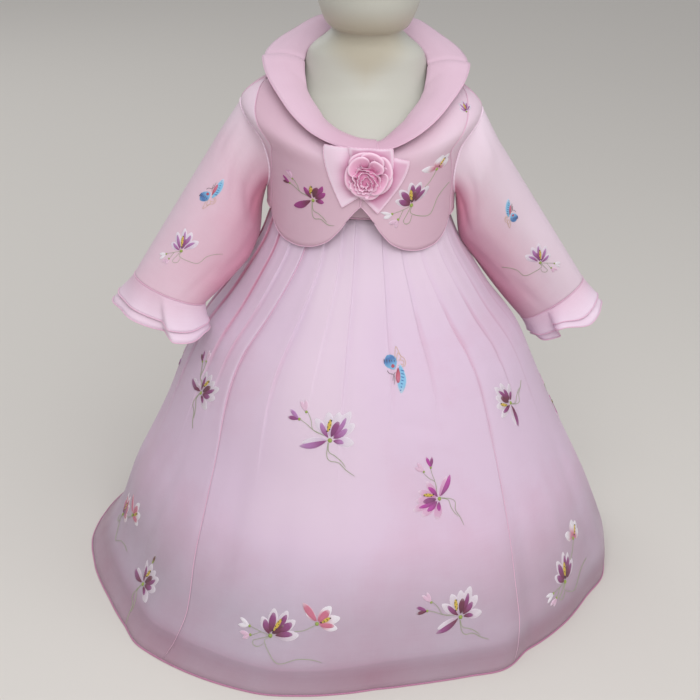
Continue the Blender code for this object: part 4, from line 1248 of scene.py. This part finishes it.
class HanbokColours(bpy.types.PropertyGroup):
    # The deep colours hold painted shade as well as doubled cloth: in the skirt's and jacket's folds and shaded
    # places, on the sleeves' undersides, between the rose's turns and near the ribbon's knot. The pale organza is
    # painted light.
    organza: colour_of("Skirt organza", "The skirt's cloth in the light", 243, 221, 242)
    organza_deep: colour_of("Deep organza", "Where the skirt's cloth is doubled or in a fold", 224, 162, 190)
    organza_light: colour_of("Pale organza", "The palest parts of all the organza", 252, 234, 248)
    jacket: colour_of("Jacket organza", "The jacket's body", 232, 198, 214)
    jacket_deep: colour_of("Deep jacket", "The jacket's body in a fold", 212, 160, 186)
    sleeve: colour_of("Sleeve organza", "The sleeves in the light", 234, 214, 226)
    sleeve_deep: colour_of("Deep sleeve", "The sleeves' inner sides", 218, 154, 178)
    lining: colour_of("Lining", "The skirt's opaque lining", 236, 218, 230)
    collar: colour_of("Collar", "The collar's faced organza", 226, 195, 213)
    frill: colour_of("Frills", "The cuffs' frills", 252, 234, 250)
    ribbon: colour_of("Ribbon", "The corsage's ribbon leaves", 250, 222, 240)
    ribbon_deep: colour_of("Deep ribbon", "The ribbon near its knot", 212, 136, 176)
    rose: colour_of("Rose", "The rolled ribbon rose", 246, 204, 226)
    rose_deep: colour_of("Deep rose", "The rose between its turns", 224, 146, 186)
    edge: colour_of("Rolled edges", "Piping and rolled hems", 232, 200, 220)
    # The rolled hem: doubled cloth, made darker still with painted shade where it meets the floor.
    hem: colour_of("Hem", "The skirt's rolled hem", 176, 120, 150)
    seam: colour_of("Seams", "Seam lines under the organza", 228, 190, 212)
    form: colour_of("Form", "The display form", 196, 197, 188)
    form_shadow: colour_of("Form shade", "The form's warmer patches", 186, 184, 170)
    floor: colour_of("Floor", "The floor", 222, 219, 212)
    thread_white: colour_of("White thread", "Petal rims and white flowers", 250, 246, 250)
    thread_pale: colour_of("Pale thread", "Pale pink petals", 238, 200, 222)
    thread_lilac: colour_of("Lilac thread", "Lilac petals", 186, 122, 186)
    thread_plum: colour_of("Plum thread", "Plum petals", 150, 58, 130)
    thread_wine: colour_of("Wine thread", "The darkest petals", 112, 22, 62)
    thread_magenta: colour_of("Magenta thread", "Magenta petals", 190, 44, 164)
    thread_rose: colour_of("Rose thread", "Rose-pink petals", 214, 112, 140)
    thread_green: colour_of("Green thread", "Calyxes", 166, 190, 70)
    thread_stem: colour_of("Stem thread", "Stems and tendrils", 168, 176, 140)
    thread_gold: colour_of("Gold thread", "Stamens", 226, 196, 60)
    thread_sky: colour_of("Sky thread", "Butterfly wings", 132, 204, 240)
    thread_royal: colour_of("Royal thread", "Wing markings", 58, 118, 186)
    thread_red: colour_of("Red thread", "Wing spots", 196, 70, 92)
    thread_beige: colour_of("Beige thread", "Butterfly bodies and feelers", 218, 186, 156)
    sheer: FloatProperty(
        name="Skirt cover", description="How much one side of the skirt's organza covers what is under it",
        default=0.62, min=0.1, max=1.0, subtype="FACTOR")


# ---------------------------------------------------------------- the pieces
class HANBOK_OT_form(bpy.types.Operator):
    """Smooth the display form and finish its pole and base"""

    bl_idname = "hanbok.form"
    bl_label = "Display form"

    def execute(self, context):
        low, high, crown = FORM[0][0], FORM[-1][0], 0.0005
        under, body, over = 0.03, 0.92, 0.95    # shares of the grid below, along and above the shell

        def section(z, across=1.0, shifted=1.0):
            width, depth, shift = (FORM_AT[name](z) for name in FORM_NAMES[1:])
            return width * across, depth * across, shift * shifted

        def place(u, v):
            if v < under:
                z, share = low, math.sqrt(v / under)
                width, depth, shift = section(low, share, share)
            elif v > over:
                t = (v - over) / 0.05
                z = high - crown + crown * math.sin(t * math.pi / 2)
                width, depth, shift = section(high, 0.0 if t > 0.999 else math.cos(t * math.pi / 2))
            else:
                z = mix(low, high - crown, (v - under) / body)
                width, depth, shift = section(z)
            x, y = on_ellipse(full_turn(u), width, depth)
            return Vector((x, y + shift, z))

        def chin_shade(u, v):
            z, away = place(u, v).z, abs(wrap(360.0 * u))
            start = 0.534 + 0.0007 * away
            shaded = smoothstep(start - 0.006, start + 0.028, z) * (1.0 - smoothstep(0.596, 0.622, z))
            return shaded * (1.0 - 0.8 * smoothstep(60, 120, away))

        shape = cloth_grid(72, 200, place, closed=True, tone=chin_shade)
        keep("display_form", shape, "form_shell", "form_body")
        for node in ("form_pole", "form_base"):
            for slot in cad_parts[node].material_slots:
                slot.material = look_of("form_steel")
        return {"FINISHED"}


# Degrees from a folded edge where a panel's grid has its columns: after one edge and before the next.
AFTER_EDGE, BEFORE_EDGE = (1.1, 2.0, 3.2), (-3.0, -1.5, -0.8, -0.5, -0.2, 0.0, 0.22, 0.45)
PANEL_EDGE = BEFORE_EDGE[-1]
PANEL_LOW, PANEL_HIGH, PANEL_ROWS = 0.0012, 0.4165, 80
SEAM_LOW, SEAM_HIGH = 0.0030, 0.4150
LINING_TOP, BODICE_LOW, BODICE_HIGH, WAIST_SEAM = 0.409, 0.4174, 0.4838, 0.4178


def panel_columns(first, last, z):
    """Angles across one skirt panel, close together at each pleat's folded edge."""
    here, a = first, pleat_angle(PLEATS[first], z)
    angles = [a + PANEL_EDGE]
    while here != last:
        here = (here + 1) % len(PLEATS)
        b = pleat_angle(PLEATS[here], z)
        while b < a:
            b += 360.0
        angles += [a + step for step in AFTER_EDGE]
        angles += [mix(a + AFTER_EDGE[-1], b + BEFORE_EDGE[0], k / 7) for k in range(1, 7)]
        angles += [b + step for step in BEFORE_EDGE]
        a = b
    return angles


class HANBOK_OT_skirt(bpy.types.Operator):
    """Make the pleated organza skirt: four panels, their seams, embroidery and rolled hem"""

    bl_idname = "hanbok.skirt"
    bl_label = "Skirt"

    def execute(self, context):
        sizes = context.scene.hanbok_sizes
        names = ("skirt_front", "skirt_side_right", "skirt_back", "skirt_side_left")
        levels = [PANEL_LOW + (PANEL_HIGH - PANEL_LOW) * k / PANEL_ROWS for k in range(PANEL_ROWS + 1)]
        sheer = context.scene.hanbok_colours.sheer

        def hem_line(t):
            point, out = skirt_surface(360.0 * t, PANEL_LOW), outward(360.0 * t)
            return Vector((point.x, point.y, sizes.hem_cord)) + out * 0.0002, out

        def cover(u, v):
            return mix(sheer * 0.72, sheer, smoothstep(0.015, 0.045, levels[round(v * PANEL_ROWS)]))

        hem = rib("skirt_hem", hem_line, 300, "hem_edge", sizes.hem_cord, sizes.hem_cord, closed=True)
        for name, first, last in zip(names, SEAM_PLEATS, SEAM_PLEATS[1:] + SEAM_PLEATS[:1]):
            columns = [panel_columns(first, last, z) for z in levels]
            across = len(columns[0]) - 1
            width = math.radians(columns[0][-1] - columns[0][0]) * HEM_RADIUS

            def at(u, v):
                k = round(v * PANEL_ROWS)
                return columns[k][round(u * across)], levels[k]

            def seam_line(t):
                z = mix(SEAM_LOW, SEAM_HIGH, t)
                point = skirt_surface(pleat_angle(PLEATS[last], z) + PANEL_EDGE, z)
                return point, level(point)

            shape = cloth_grid(
                across, PANEL_ROWS, lambda u, v: skirt_surface(*at(u, v)), (width, 0.47),
                tone=lambda u, v: skirt_tone(*at(u, v)), cover=cover)
            panel = keep(name + "_cloth", shape, "skirt_organza", name, sizes.cloth_wall)
            sewn = [hem] if name == "skirt_front" else []
            sewn.append(rib(name + "_seam", seam_line, 90, "seam_line", 0.0004, 0.0003))
            sewn += sew_motifs(name)
            area = spread(panel) * ALLOWANCE["skirt"]
            whole = area >= width * 1.02 * 0.50
            area = None if whole else area
            sheet_of(width * 1.02, 0.50, ["dress_bodice_cloth"], area)
        return {"FINISHED"}


class HANBOK_OT_lining(bpy.types.Operator):
    """Make the skirt's plain lining and the dress's bodice"""

    bl_idname = "hanbok.lining"
    bl_label = "Lining and bodice"

    def execute(self, context):
        def hem_z(angle):
            a = wrap(angle)
            lift = 0.012 * hump(a, 55, 22) - 0.004 * hump(a, -50, 25)
            return 0.024 + lift + 0.002 * math.sin(math.radians(7 * a))

        def place(u, v):
            angle = full_turn(u)
            return lining_surface(angle, mix(hem_z(angle), LINING_TOP, v))

        def hem_line(t):
            point = lining_surface(360.0 * t, hem_z(360.0 * t))
            return point, level(point)

        shape = cloth_grid(180, 46, place, (1.70, 0.44), closed=True)
        lining = keep("skirt_lining_cloth", shape, "lining", "skirt_lining", LINING_WALL)
        hem = rib("lining_hem", hem_line, 240, "seam_line", closed=True)
        sheet_of(1.72, 0.50, ["dress_bodice_cloth"], 0.60)

        def body(u, v):
            return bodice_surface(full_turn(u), mix(BODICE_LOW, BODICE_HIGH, v))

        def waist_line(t):
            return bodice_surface(360.0 * t, WAIST_SEAM), outward(360.0 * t)

        # Painted light on the bodice, where it lies in the jacket's shade, most towards the top.
        shape = cloth_grid(96, 14, body, (0.55, 0.067), closed=True, tone=lambda u, v: -0.15 - 0.5 * v)
        bodice = keep("dress_bodice_cloth", shape, "jacket_organza", "dress_bodice", BODICE_WALL)
        waist = rib("waist_seam", waist_line, 120, "seam_line", 0.0008, 0.0008, closed=True)
        sheet_of(0.55, 0.070, ["display_form"])
        return {"FINISHED"}


SIDES = ((-1, "left"), (1, "right"))
# Degrees left free beside each seam of the jacket, and how far round the collar each half laps.
SPARE = 0.25
COLLAR_ENDS = {"left": -9.0, "right": -2.0}


class HANBOK_OT_jacket(bpy.types.Operator):
    """Make the jacket's fronts, side fronts and back, with their seams and edges"""

    bl_idname = "hanbok.jacket"
    bl_label = "Jacket body"

    def execute(self, context):
        sizes = context.scene.hanbok_sizes

        def cloth(name, shape, side=1):
            return keep(name + "_cloth", shape, "jacket_organza", name, sizes.cloth_wall, side < 0)

        def seam(name, run, count, look="seam_line", wide=0.00045, high=0.0004):
            """A line sewn along the jacket, where run(t) gives its angle and level."""
            def line(t):
                p, s = run(t)
                return jacket_surface(p, s), normal_of(jacket_surface, p, s, 0.5, 0.01 if s < 0.98 else 0.02)

            return rib(name, line, count, look, wide, high)

        def bound(name, run, count):
            return seam(name, run, count, "bound_edge", sizes.edge_cord, sizes.edge_cord)

        for side, name in SIDES:
            def front(u, v):
                return jacket_surface(side * mix(0.15, PRINCESS_AT(v) - SPARE, u), v)

            # Painted light high up under the collar, most on the right front's shoulder, and painted shade on the
            # left front's shoulder; a little deeper towards the princess seam.
            def front_tone(u, v):
                shoulder_light_and_shade = (0.60 if side > 0 else -0.15) * smoothstep(0.40, 0.75, v) * smoothstep(0.35, 0.85, u)
                return 0.10 * smoothstep(0.2, 0.6, u) - shoulder_light_and_shade - 0.20 * smoothstep(0.5, 0.8, v)

            def front_edge(t):
                if t < 0.62:
                    return side * mix(PRINCESS_AT(0.0) - SPARE, 0.15, t / 0.62), 0.0
                return side * 0.15, mix(0.0, 0.93, (t - 0.62) / 0.38)

            def princess(t):
                s = mix(0.005, 0.90, t)
                return side * PRINCESS_AT(s), s

            piece = cloth("jacket_front_" + name, cloth_grid(44, 48, front, (0.11, 0.11), tone=front_tone), side)
            sewn = [bound("jacket_edge_" + name, front_edge, 110), seam("princess_seam_" + name, princess, 60)]
            sewn += sew_motifs("jacket_front_" + name)
            rests_on, area = ["collar_" + name + "_cloth"], spread(piece) * ALLOWANCE["jacket"]
            sheet_of(0.125, 0.135, rests_on, area)

            def flank(u, v):
                s = mix(0.0, 0.88, v)
                outer = 90.0 - SPARE - armhole_angle(s, 0.5)
                return jacket_surface(side * mix(PRINCESS_AT(s) + SPARE, outer, u), s)

            # Painted shade at mid height towards the armhole, as over a fold, and painted light high up towards the
            # shoulder, where the collar's shade falls.
            def flank_tone(u, v):
                folded = smoothstep(0.15, 0.4, v) * (1 - smoothstep(0.5, 0.75, v)) * smoothstep(0.0, 0.8, u)
                return 0.5 * folded + 0.1 - 0.95 * smoothstep(0.38, 0.72, v)

            def flank_edge(t):
                return side * mix(PRINCESS_AT(0.0) + SPARE, 90.0 - SPARE, t), 0.0

            def hole(t):
                return armhole_point(side, 360.0 * t) + Vector((side * 0.0003, 0, 0)), Vector((side, 0, 0))

            piece = cloth("jacket_side_" + name, cloth_grid(14, 44, flank, (0.04, 0.10), tone=flank_tone), side)
            sewn = [
                bound("jacket_side_edge_" + name, flank_edge, 16),
                seam("side_seam_" + name, lambda t: (side * 90.0, mix(0.004, 0.118, t)), 12),
                seam("shoulder_seam_" + name, lambda t: (side * 90.0, mix(0.73, 0.97, t)), 20),
            ]
            sewn += sew_motifs("jacket_side_" + name)
            # The armhole seam, in the palest organza: painted light over the shade in the groove by the sleeve.
            sewn.append(rib("armhole_seam_" + name, hole, 90, "armhole_line", 0.0011, 0.0011, closed=True))
            rests_on = ["jacket_front_" + name + "_cloth"]
            sheet_of(0.06, 0.115, rests_on, spread(piece) * ALLOWANCE["jacket"])

        def back(u, v):
            angle = 90.0 + SPARE + armhole_angle(v, 0.5)
            return jacket_surface(mix(angle, 360.0 - angle, u), v)

        # Paler overall, with painted shade up towards the neck and out towards the armholes.
        def back_tone(u, v):
            return -0.45 + 0.35 * smoothstep(0.6, 0.95, v) + 0.35 * abs(2 * u - 1) ** 3

        piece = cloth("jacket_back", cloth_grid(70, 48, back, (0.30, 0.17), tone=back_tone))
        sewn = [
            bound("jacket_back_edge", lambda t: (mix(90.0 + SPARE, 270.0 - SPARE, t), 0.0), 70),
            seam("centre_back_seam", lambda t: (180.0, mix(0.01, 0.97, t)), 60),
        ]
        sewn += sew_motifs("jacket_back")
        rests_on = ["collar_left_cloth", "collar_right_cloth"]
        sheet_of(0.32, 0.18, rests_on, spread(piece) * ALLOWANCE["jacket"])
        return {"FINISHED"}


class HANBOK_OT_sleeves(bpy.types.Operator):
    """Make the two sleeves, their frills and cuff seams"""

    bl_idname = "hanbok.sleeves"
    bl_label = "Sleeves and frills"

    def execute(self, context):
        wall = context.scene.hanbok_sizes.cloth_wall
        for side, name in SIDES:
            # Painted shade on the underside, deepest at the armpit; painted light near the armhole and on the right
            # sleeve's outer side, and a little painted shade on the left sleeve's front.
            def tone(u, v):
                turn = 360.0 * u
                under = hump(wrap(turn - 168.0), 0.0, 66.0)
                pit_shade = hump(wrap(turn - 150.0), 0.0, 34.0) * (1.0 - smoothstep(0.10, 0.34, v))
                paler, at = (0.40, 15.0) if side > 0 else (-0.14, 62.0)
                shaded = 1.10 * under * (0.6 + 0.4 * smoothstep(0.0, 0.3, v))
                head = (0.45 if side > 0 else 0.15) * (1.0 - smoothstep(0.04, 0.22, v)) * (1.0 - under)
                whole = (shaded - head) * (1.0 - 0.25 * smoothstep(0.8, 1.0, v))
                return whole + 0.9 * pit_shade - paler * hump(wrap(turn - at), 0.0, 50.0)

            def cuff(t):
                return sleeve_surface(side, 360.0 * t, 1.0), Vector((side, 0, -1.0)).normalized()

            shape = cloth_grid(
                110, 84, lambda u, v: sleeve_surface(side, full_turn(u), v), (0.25, 0.22), closed=True, tone=tone)
            sleeve = keep(
                "sleeve_" + name + "_cloth", shape, "sleeve_organza", "sleeve_" + name, wall, side < 0)
            sewn = [rib("cuff_seam_" + name, cuff, 100, "seam_line", 0.00045, 0.00045, closed=True)]
            sewn += sew_motifs("sleeve_" + name)
            sheet_of(0.235, 0.235, ["jacket_back_cloth"], spread(sleeve) * ALLOWANCE["sleeve"])

            for layer, length in (("upper", 0.030), ("lower", 0.040)):
                def frill(u, v):
                    return ruffle_surface(side, full_turn(u), v, layer)

                def rim(t):
                    return ruffle_surface(side, 360.0 * t, 1.0, layer), Vector((side * 0.75, 0, -0.66))

                which = layer + "_" + name
                shape = cloth_grid(216, 10, frill, (0.45, 0.03), closed=True, tone=lambda u, v: 0.35 * (1.0 - v))
                piece = keep("frill_" + which, shape, "frill_organza", "ruffle_" + which, wall, side < 0)
                edge = rib("frill_edge_" + which, rim, 216, closed=True)
                area = min(spread(piece) * ALLOWANCE["frill"], 0.36 * 0.030)
                sheet_of(0.36, length, ["sleeve_" + name + "_cloth"], area)
        return {"FINISHED"}


class HANBOK_OT_collar(bpy.types.Operator):
    """Make the two halves of the shawl collar with their piped edges and closing stitches"""

    bl_idname = "hanbok.collar"
    bl_label = "Collar"

    def execute(self, context):
        for side, name in SIDES:
            start, end = 179.8, COLLAR_ENDS[name]

            def sunk(angle):
                """The right half dips under the left one at the lap."""
                return 0.0021 * (1.0 - smoothstep(17.0, 34.0, angle)) if side > 0 and angle < 40 else 0.0

            def across(angle, share):
                here, before = collar_point(side * angle, share, sunk(angle)), 92.5 - angle
                step = 0.0022 * math.exp(-before / 13.0) * min(1.0, before / 1.2) if before > 0 else 0.0
                return here + level(here) * (step * smoothstep(0.45, 1.0, share))

            # Painted shade along the seam under the roll and towards the front end.
            def tone(u, v):
                return 0.40 * (1.0 - smoothstep(0.10, 0.40, v)) + 0.45 * smoothstep(0.72, 0.92, u)

            def edge(t):
                if t < 0.88:
                    here = across(mix(start, end, t / 0.88), 1.0)
                else:
                    here = across(end, mix(1.0, 0.30, (t - 0.88) / 0.12))
                return here, Vector((here.x, here.y, 0.09)).normalized()

            def topstitch(t):
                return across(mix(start, end, t), 0.895), Vector((0, 0, 1))

            shape = cloth_grid(150, 18, lambda u, v: across(mix(start, end, u), v), (0.40, 0.05), tone=tone)
            piece = keep(
                "collar_" + name + "_cloth", shape, "collar_organza", "collar_" + name,
                context.scene.hanbok_sizes.collar_wall, side > 0)
            sewn = [
                rib("collar_edge_" + name, edge, 190, "bound_edge", 0.0007, 0.0007),
                rib("collar_topstitch_" + name, topstitch, 190, "seam_line", 0.0003, 0.0003),
            ]
            stitches = Stitching()
            spot = Spot(
                lambda p, q: collar_point(p, q, sunk(side * p)), 4.5 if side < 0 else 10.8, 0.52, 0.5, 0.03)
            dark = tuple(0.72 * c for c in context.scene.hanbok_colours.rose_deep)
            stitches.petal(spot, (-0.3, -1.6), (0.4, 1.6), 0.45, dark, dark, dark, high=0.6)
            sewn.append(stitches.done("collar_stitch_" + name))
            area = min(spread(piece) * ALLOWANCE["collar"], 0.33 * 0.062)
            sheet_of(0.33, 0.062, ["jacket_back_cloth"], area)
        return {"FINISHED"}


# The rose's outer petals: middle and half spread in degrees clockwise from the top, then mm from the
# rose's middle where each starts and ends, and how far it stands out there.
PETAL_NAMES = ("middle", "spread", "inner", "reach", "low", "high")
PETALS = (
    (262, 56, 9.5, 22.6, 1.0, 9.0), (318, 50, 8.0, 22.0, 4.0, 11.5), (338, 46, 8.0, 24.8, 1.2, 8.6),
    (14, 46, 8.0, 24.0, 2.4, 10.0), (40, 36, 7.0, 18.5, 3.0, 11.0), (62, 44, 9.0, 25.4, 0.6, 8.6),
    (108, 54, 10.5, 24.0, 1.0, 8.0), (122, 50, 10.5, 20.8, 3.0, 10.6), (178, 46, 10.0, 23.6, 0.6, 7.2),
    (206, 44, 10.0, 21.6, 2.4, 9.6),
)
# The ribbon ends as they lie: four corners (x, z), how far the free side bows out and how far the
# ribbon stands off the jacket, in metres, and how deep its colour lies as painted shade and light.
RIBBONS = {
    "leaf_left": (
        ((-0.0369, 0.4963), (-0.0100, 0.4958), (-0.0013, 0.4483), (-0.0181, 0.4356)), 0.0048, 0.0017, -0.15),
    "leaf_right_high": (
        ((-0.0144, 0.4972), (0.0283, 0.4959), (0.0288, 0.4690), (-0.0050, 0.4640)), 0.0010, 0.0036, 0.15),
    "leaf_right_low": (
        ((0.0190, 0.4900), (0.0446, 0.4819), (0.0165, 0.4309), (0.0035, 0.4445)), 0.0055, 0.0021, 0.40),
}
# The rose's middle and how many times its strip is wound.
ROSE_MIDDLE, ROSE_TURNS = Vector((0.0048, -0.0960, 0.4688)), 4.3


class HANBOK_OT_corsage(bpy.types.Operator):
    """Make the ribbon rose, its outer petals and the ribbon ends"""

    bl_idname = "hanbok.corsage"
    bl_label = "Rose corsage"

    def execute(self, context):
        middle, core = ROSE_MIDDLE, ROSE_MIDDLE + Vector((-0.0010, 0.0, -0.0042))

        def rolled(u, v):
            """A gathered strip wound round and round, its rim frilled and leaning out."""
            a = math.tau * ROSE_TURNS * u + 0.6
            uneven = 1.0 + 0.10 * math.sin(2 * a + 0.7 + 4 * u) + 0.07 * math.sin(3 * a + 5 * u)
            coarse = 0.60 * math.sin(a * 7.3 + 2.2 * math.sin(1.7 * a))
            gather = coarse + 0.50 * math.sin(a * 12.9 + 1.9 * math.sin(2.6 * a + 1.0))
            r = (0.0008 + 0.0136 * u**0.8) * uneven
            r += (0.0005 + 0.0026 * u) * v * v + gather * 0.0014 * v * (0.5 + 0.6 * u)
            lean = 0.0046 + 0.0014 * math.sin(a * 4.3 + 2.0) + 0.0009 * gather
            out = 0.0080 * (1.0 - u**1.8) + 0.0010 + v * lean
            return core + Vector((r * math.sin(a), -out, r * math.cos(a)))

        # Painted shade deep between the turns, painted light out on the rims.
        shape = cloth_grid(900, 6, rolled, (0.30, 0.006), tone=lambda u, v: 0.85 - 1.35 * v)
        roll = keep("rose_roll", shape, "rose_ribbon", "rose_core", ROLL_WALL)
        sheet_of(0.30, 0.010, ["rose_petal_ring"], min(spread(roll), 0.30 * 0.010))

        def dome(u, v):
            a, quarter = math.tau * (0.0 if u == 1.0 else u), v * math.pi / 2
            r, out = 0.0125 * math.sin(quarter), 0.0078 * math.cos(quarter) + 0.0010
            return core + Vector((r * math.sin(a), -out, r * math.cos(a)))

        # Deep all over: painted shade in the rose's depths.
        shape = cloth_grid(40, 10, dome, (0.08, 0.02), closed=True, tone=lambda u, v: 0.9)
        keep("rose_heart", shape, "rose_ribbon")

        ring = bmesh.new()
        for row in PETALS:
            petal = dict(zip(PETAL_NAMES, row))
            side = 0.25 if petal["middle"] > 250 else 0.12 if petal["middle"] < 70 else 0.0

            def cupped(u, v):
                w = 2 * u - 1
                a = math.radians(petal["middle"] + petal["spread"] * w)
                rim = math.sqrt(max(0.0, 1.0 - abs(w) ** 3.2))
                roll = max(0.0, v - 0.8) / 0.2
                r = petal["inner"] + (petal["reach"] - petal["inner"]) * (0.25 + 0.75 * rim) * v
                r += 0.5 * math.sin(4 * a + petal["middle"]) * v
                out = mix(petal["low"], petal["high"], v**0.7) - 1.5 * roll * roll
                out += 0.5 * math.sin(5 * a + petal["reach"]) * v
                flat = Vector((0.0006 + r * 0.001 * math.sin(a), -0.001 * out, 0.0014 + r * 0.001 * math.cos(a)))
                return middle + flat

            # Painted shade deep in each petal, more in the left and upper ones, and painted light on the rolled rim.
            def tone(u, v):
                return 0.9 + side - (0.75 + side * 0.6) * v - 0.7 * smoothstep(0.84, 0.96, v)

            part = cloth_grid(26, 12, cupped, (0.03, 0.012), tone=tone)
            mesh = bpy.data.meshes.new("petal")
            part.to_mesh(mesh)
            part.free()
            ring.from_mesh(mesh)
            bpy.data.meshes.remove(mesh)
        ring = keep("rose_petal_ring", ring, "rose_ribbon", "rose_petals", PETAL_WALL)
        area = min(spread(ring) * ALLOWANCE["ribbon"], 0.21 * 0.022)
        sheet_of(0.21, 0.022, ["leaf_left_ribbon"], area)

        for name, (corners, bow, stand, shade) in RIBBONS.items():
            (ax, az), (bx, bz), (cx, cz), (dx, dz) = corners

            def place(u, v):
                x = mix(mix(ax, bx, u), mix(dx, cx, u), v)
                z = mix(mix(az, bz, u), mix(dz, cz, u), v)
                x += bow * math.sin(math.pi * v**0.75) * (-(1 - u) ** 1.5 if name == "leaf_left" else u**1.5)
                bulge = 0.0020 * math.sin(math.pi * u) * math.sin(math.pi * min(v + 0.1, 1.0))
                right, up = x - middle.x, z - middle.z
                folds = math.sin(8.0 * math.atan2(right, up) + 1.0)
                gather = 0.0008 * hump(math.hypot(right, up), 0.018, 0.014) * folds
                return Vector((x, front_y(x) - stand - bulge - 0.0002 + gather, z))

            # Painted shade near the rose's knot, paler along the edges.
            def tone(u, v):
                here = place(u, v)
                knot = hump(max(0.0, math.hypot(here.x - middle.x, here.z - middle.z) - 0.020), 0.0, 0.007)
                band = 1.0 - smoothstep(0.03, 0.09, min(u, 1 - u, v, 1 - v))
                return shade + 0.95 * knot - 0.55 * band + 0.10

            def rim(t):
                i, part = int(t * 4.0) % 4, (t * 4.0) % 1.0
                u, v = ((part, 0.0), (1.0, part), (1.0 - part, 1.0), (0.0, 1.0 - part))[i]
                return place(u, v) + Vector((0, 0.0003, 0)), Vector((0, -1, 0))

            width = math.hypot(bx - ax, bz - az)
            length = math.hypot((dx + cx - ax - bx) / 2, (dz + cz - az - bz) / 2)
            shape = cloth_grid(30, 40, place, (width, length), tone=tone)
            leaf = keep(name + "_ribbon", shape, "ribbon", name, RIBBON_WALL, flip=True)
            edge = rib(name + "_fold", rim, 120, "ribbon_edge", 0.00045, 0.00045, closed=True)
            area, across = spread(leaf), max(width, 0.02)
            long = max(length, area / across) * 1.1
            sheet_of(across, long, ["jacket_front_left_cloth"], area * ALLOWANCE["ribbon"])
        return {"FINISHED"}


# The lights: where each stands, the side of its square, its power and its colour. All face AIM.
AIM = Vector((0.0, 0.0, 0.30))
LIGHTS = {
    "key": ((0.10, -1.60, 1.90), 1.5, 25.0, (1.0, 0.99, 1.0)),
    "fill": ((1.9, -1.2, 1.3), 1.6, 7.5, (1.0, 0.98, 0.99)),
    "top": ((0.05, -0.15, 2.4), 1.5, 5.5, (1.0, 1.0, 1.0)),
    "rim": ((-1.4, 1.8, 1.5), 1.2, 6.5, (1.0, 1.0, 1.0)),
}
SKY_COLOUR, SKY_STRENGTH = (0.98, 0.97, 1.0, 1.0), 0.46
# The camera's place, how far it is raised from straight down and rolled, in degrees, and its lens.
CAMERA_PLACE, CAMERA_RAISED, CAMERA_ROLL, CAMERA_LENS = (-0.005, -1.6, 0.9614), 65.8, 2.2, 84.6


class HANBOK_OT_stage(bpy.types.Operator):
    """Set out the pale floor, the soft lights and the camera"""

    bl_idname = "hanbok.stage"
    bl_label = "Stage"

    def execute(self, context):
        scene = context.scene
        shape = bmesh.new()
        bmesh.ops.create_grid(shape, x_segments=4, y_segments=4, size=scene.hanbok_sizes.floor_side / 2)
        mesh = bpy.data.meshes.new("floor")
        shape.to_mesh(mesh)
        shape.free()
        mesh.materials.append(look_of("floor"))
        floor = bpy.data.objects.new("floor", mesh)
        scene.collection.objects.link(floor)

        scene.world = bpy.data.worlds.new("studio")
        scene.world.use_nodes = True
        background = scene.world.node_tree.nodes["Background"]
        background.inputs["Color"].default_value = SKY_COLOUR
        background.inputs["Strength"].default_value = SKY_STRENGTH
        for name, (place, size, power, colour) in LIGHTS.items():
            light = bpy.data.lights.new(name, "AREA")
            light.shape, light.size, light.energy, light.color = "SQUARE", size, power, colour
            lamp = bpy.data.objects.new(name, light)
            lamp.location = place
            lamp.rotation_euler = (AIM - Vector(place)).to_track_quat("-Z", "Y").to_euler()
            scene.collection.objects.link(lamp)

        camera = bpy.data.cameras.new("camera")
        camera.sensor_width, camera.lens = 36.0, CAMERA_LENS
        camera.clip_start, camera.clip_end = 0.05, 60.0
        view = bpy.data.objects.new("camera", camera)
        view.matrix_world = (
            Matrix.Translation(CAMERA_PLACE) @ Matrix.Rotation(math.radians(CAMERA_RAISED), 4, "X")
            @ Matrix.Rotation(math.radians(CAMERA_ROLL), 4, "Z"))
        scene.collection.objects.link(view)
        scene.camera = view
        scene.view_settings.view_transform = "Standard"
        return {"FINISHED"}


OPERATORS = (
    HANBOK_OT_stage, HANBOK_OT_form, HANBOK_OT_lining, HANBOK_OT_skirt, HANBOK_OT_jacket,
    HANBOK_OT_sleeves, HANBOK_OT_collar, HANBOK_OT_corsage,
)


class HANBOK_PT_panel(bpy.types.Panel):
    """The hanbok's sizes, colours and pieces"""

    bl_idname = "HANBOK_PT_panel"
    bl_label = "Hanbok"
    bl_space_type = "VIEW_3D"
    bl_region_type = "UI"
    bl_category = "Hanbok"

    def draw(self, context):
        for group in (context.scene.hanbok_sizes, context.scene.hanbok_colours):
            box = self.layout.box()
            for name in group.__annotations__:
                box.prop(group, name)
        for operator in OPERATORS:
            self.layout.operator(operator.bl_idname)


CLASSES = (HanbokSizes, HanbokColours, *OPERATORS, HANBOK_PT_panel)


def register():
    for item in CLASSES:
        bpy.utils.register_class(item)
    bpy.types.Scene.hanbok_sizes = PointerProperty(type=HanbokSizes)
    bpy.types.Scene.hanbok_colours = PointerProperty(type=HanbokColours)


def unregister():
    del bpy.types.Scene.hanbok_colours
    del bpy.types.Scene.hanbok_sizes
    for item in reversed(CLASSES):
        bpy.utils.unregister_class(item)


def main():
    register()
    bpy.ops.hanbok.stage()
    bpy.ops.hanbok.form()
    bpy.ops.hanbok.lining()
    bpy.ops.hanbok.skirt()
    bpy.ops.hanbok.jacket()
    bpy.ops.hanbok.sleeves()
    bpy.ops.hanbok.collar()
    bpy.ops.hanbok.corsage()


if __name__ == "__main__":
    main()
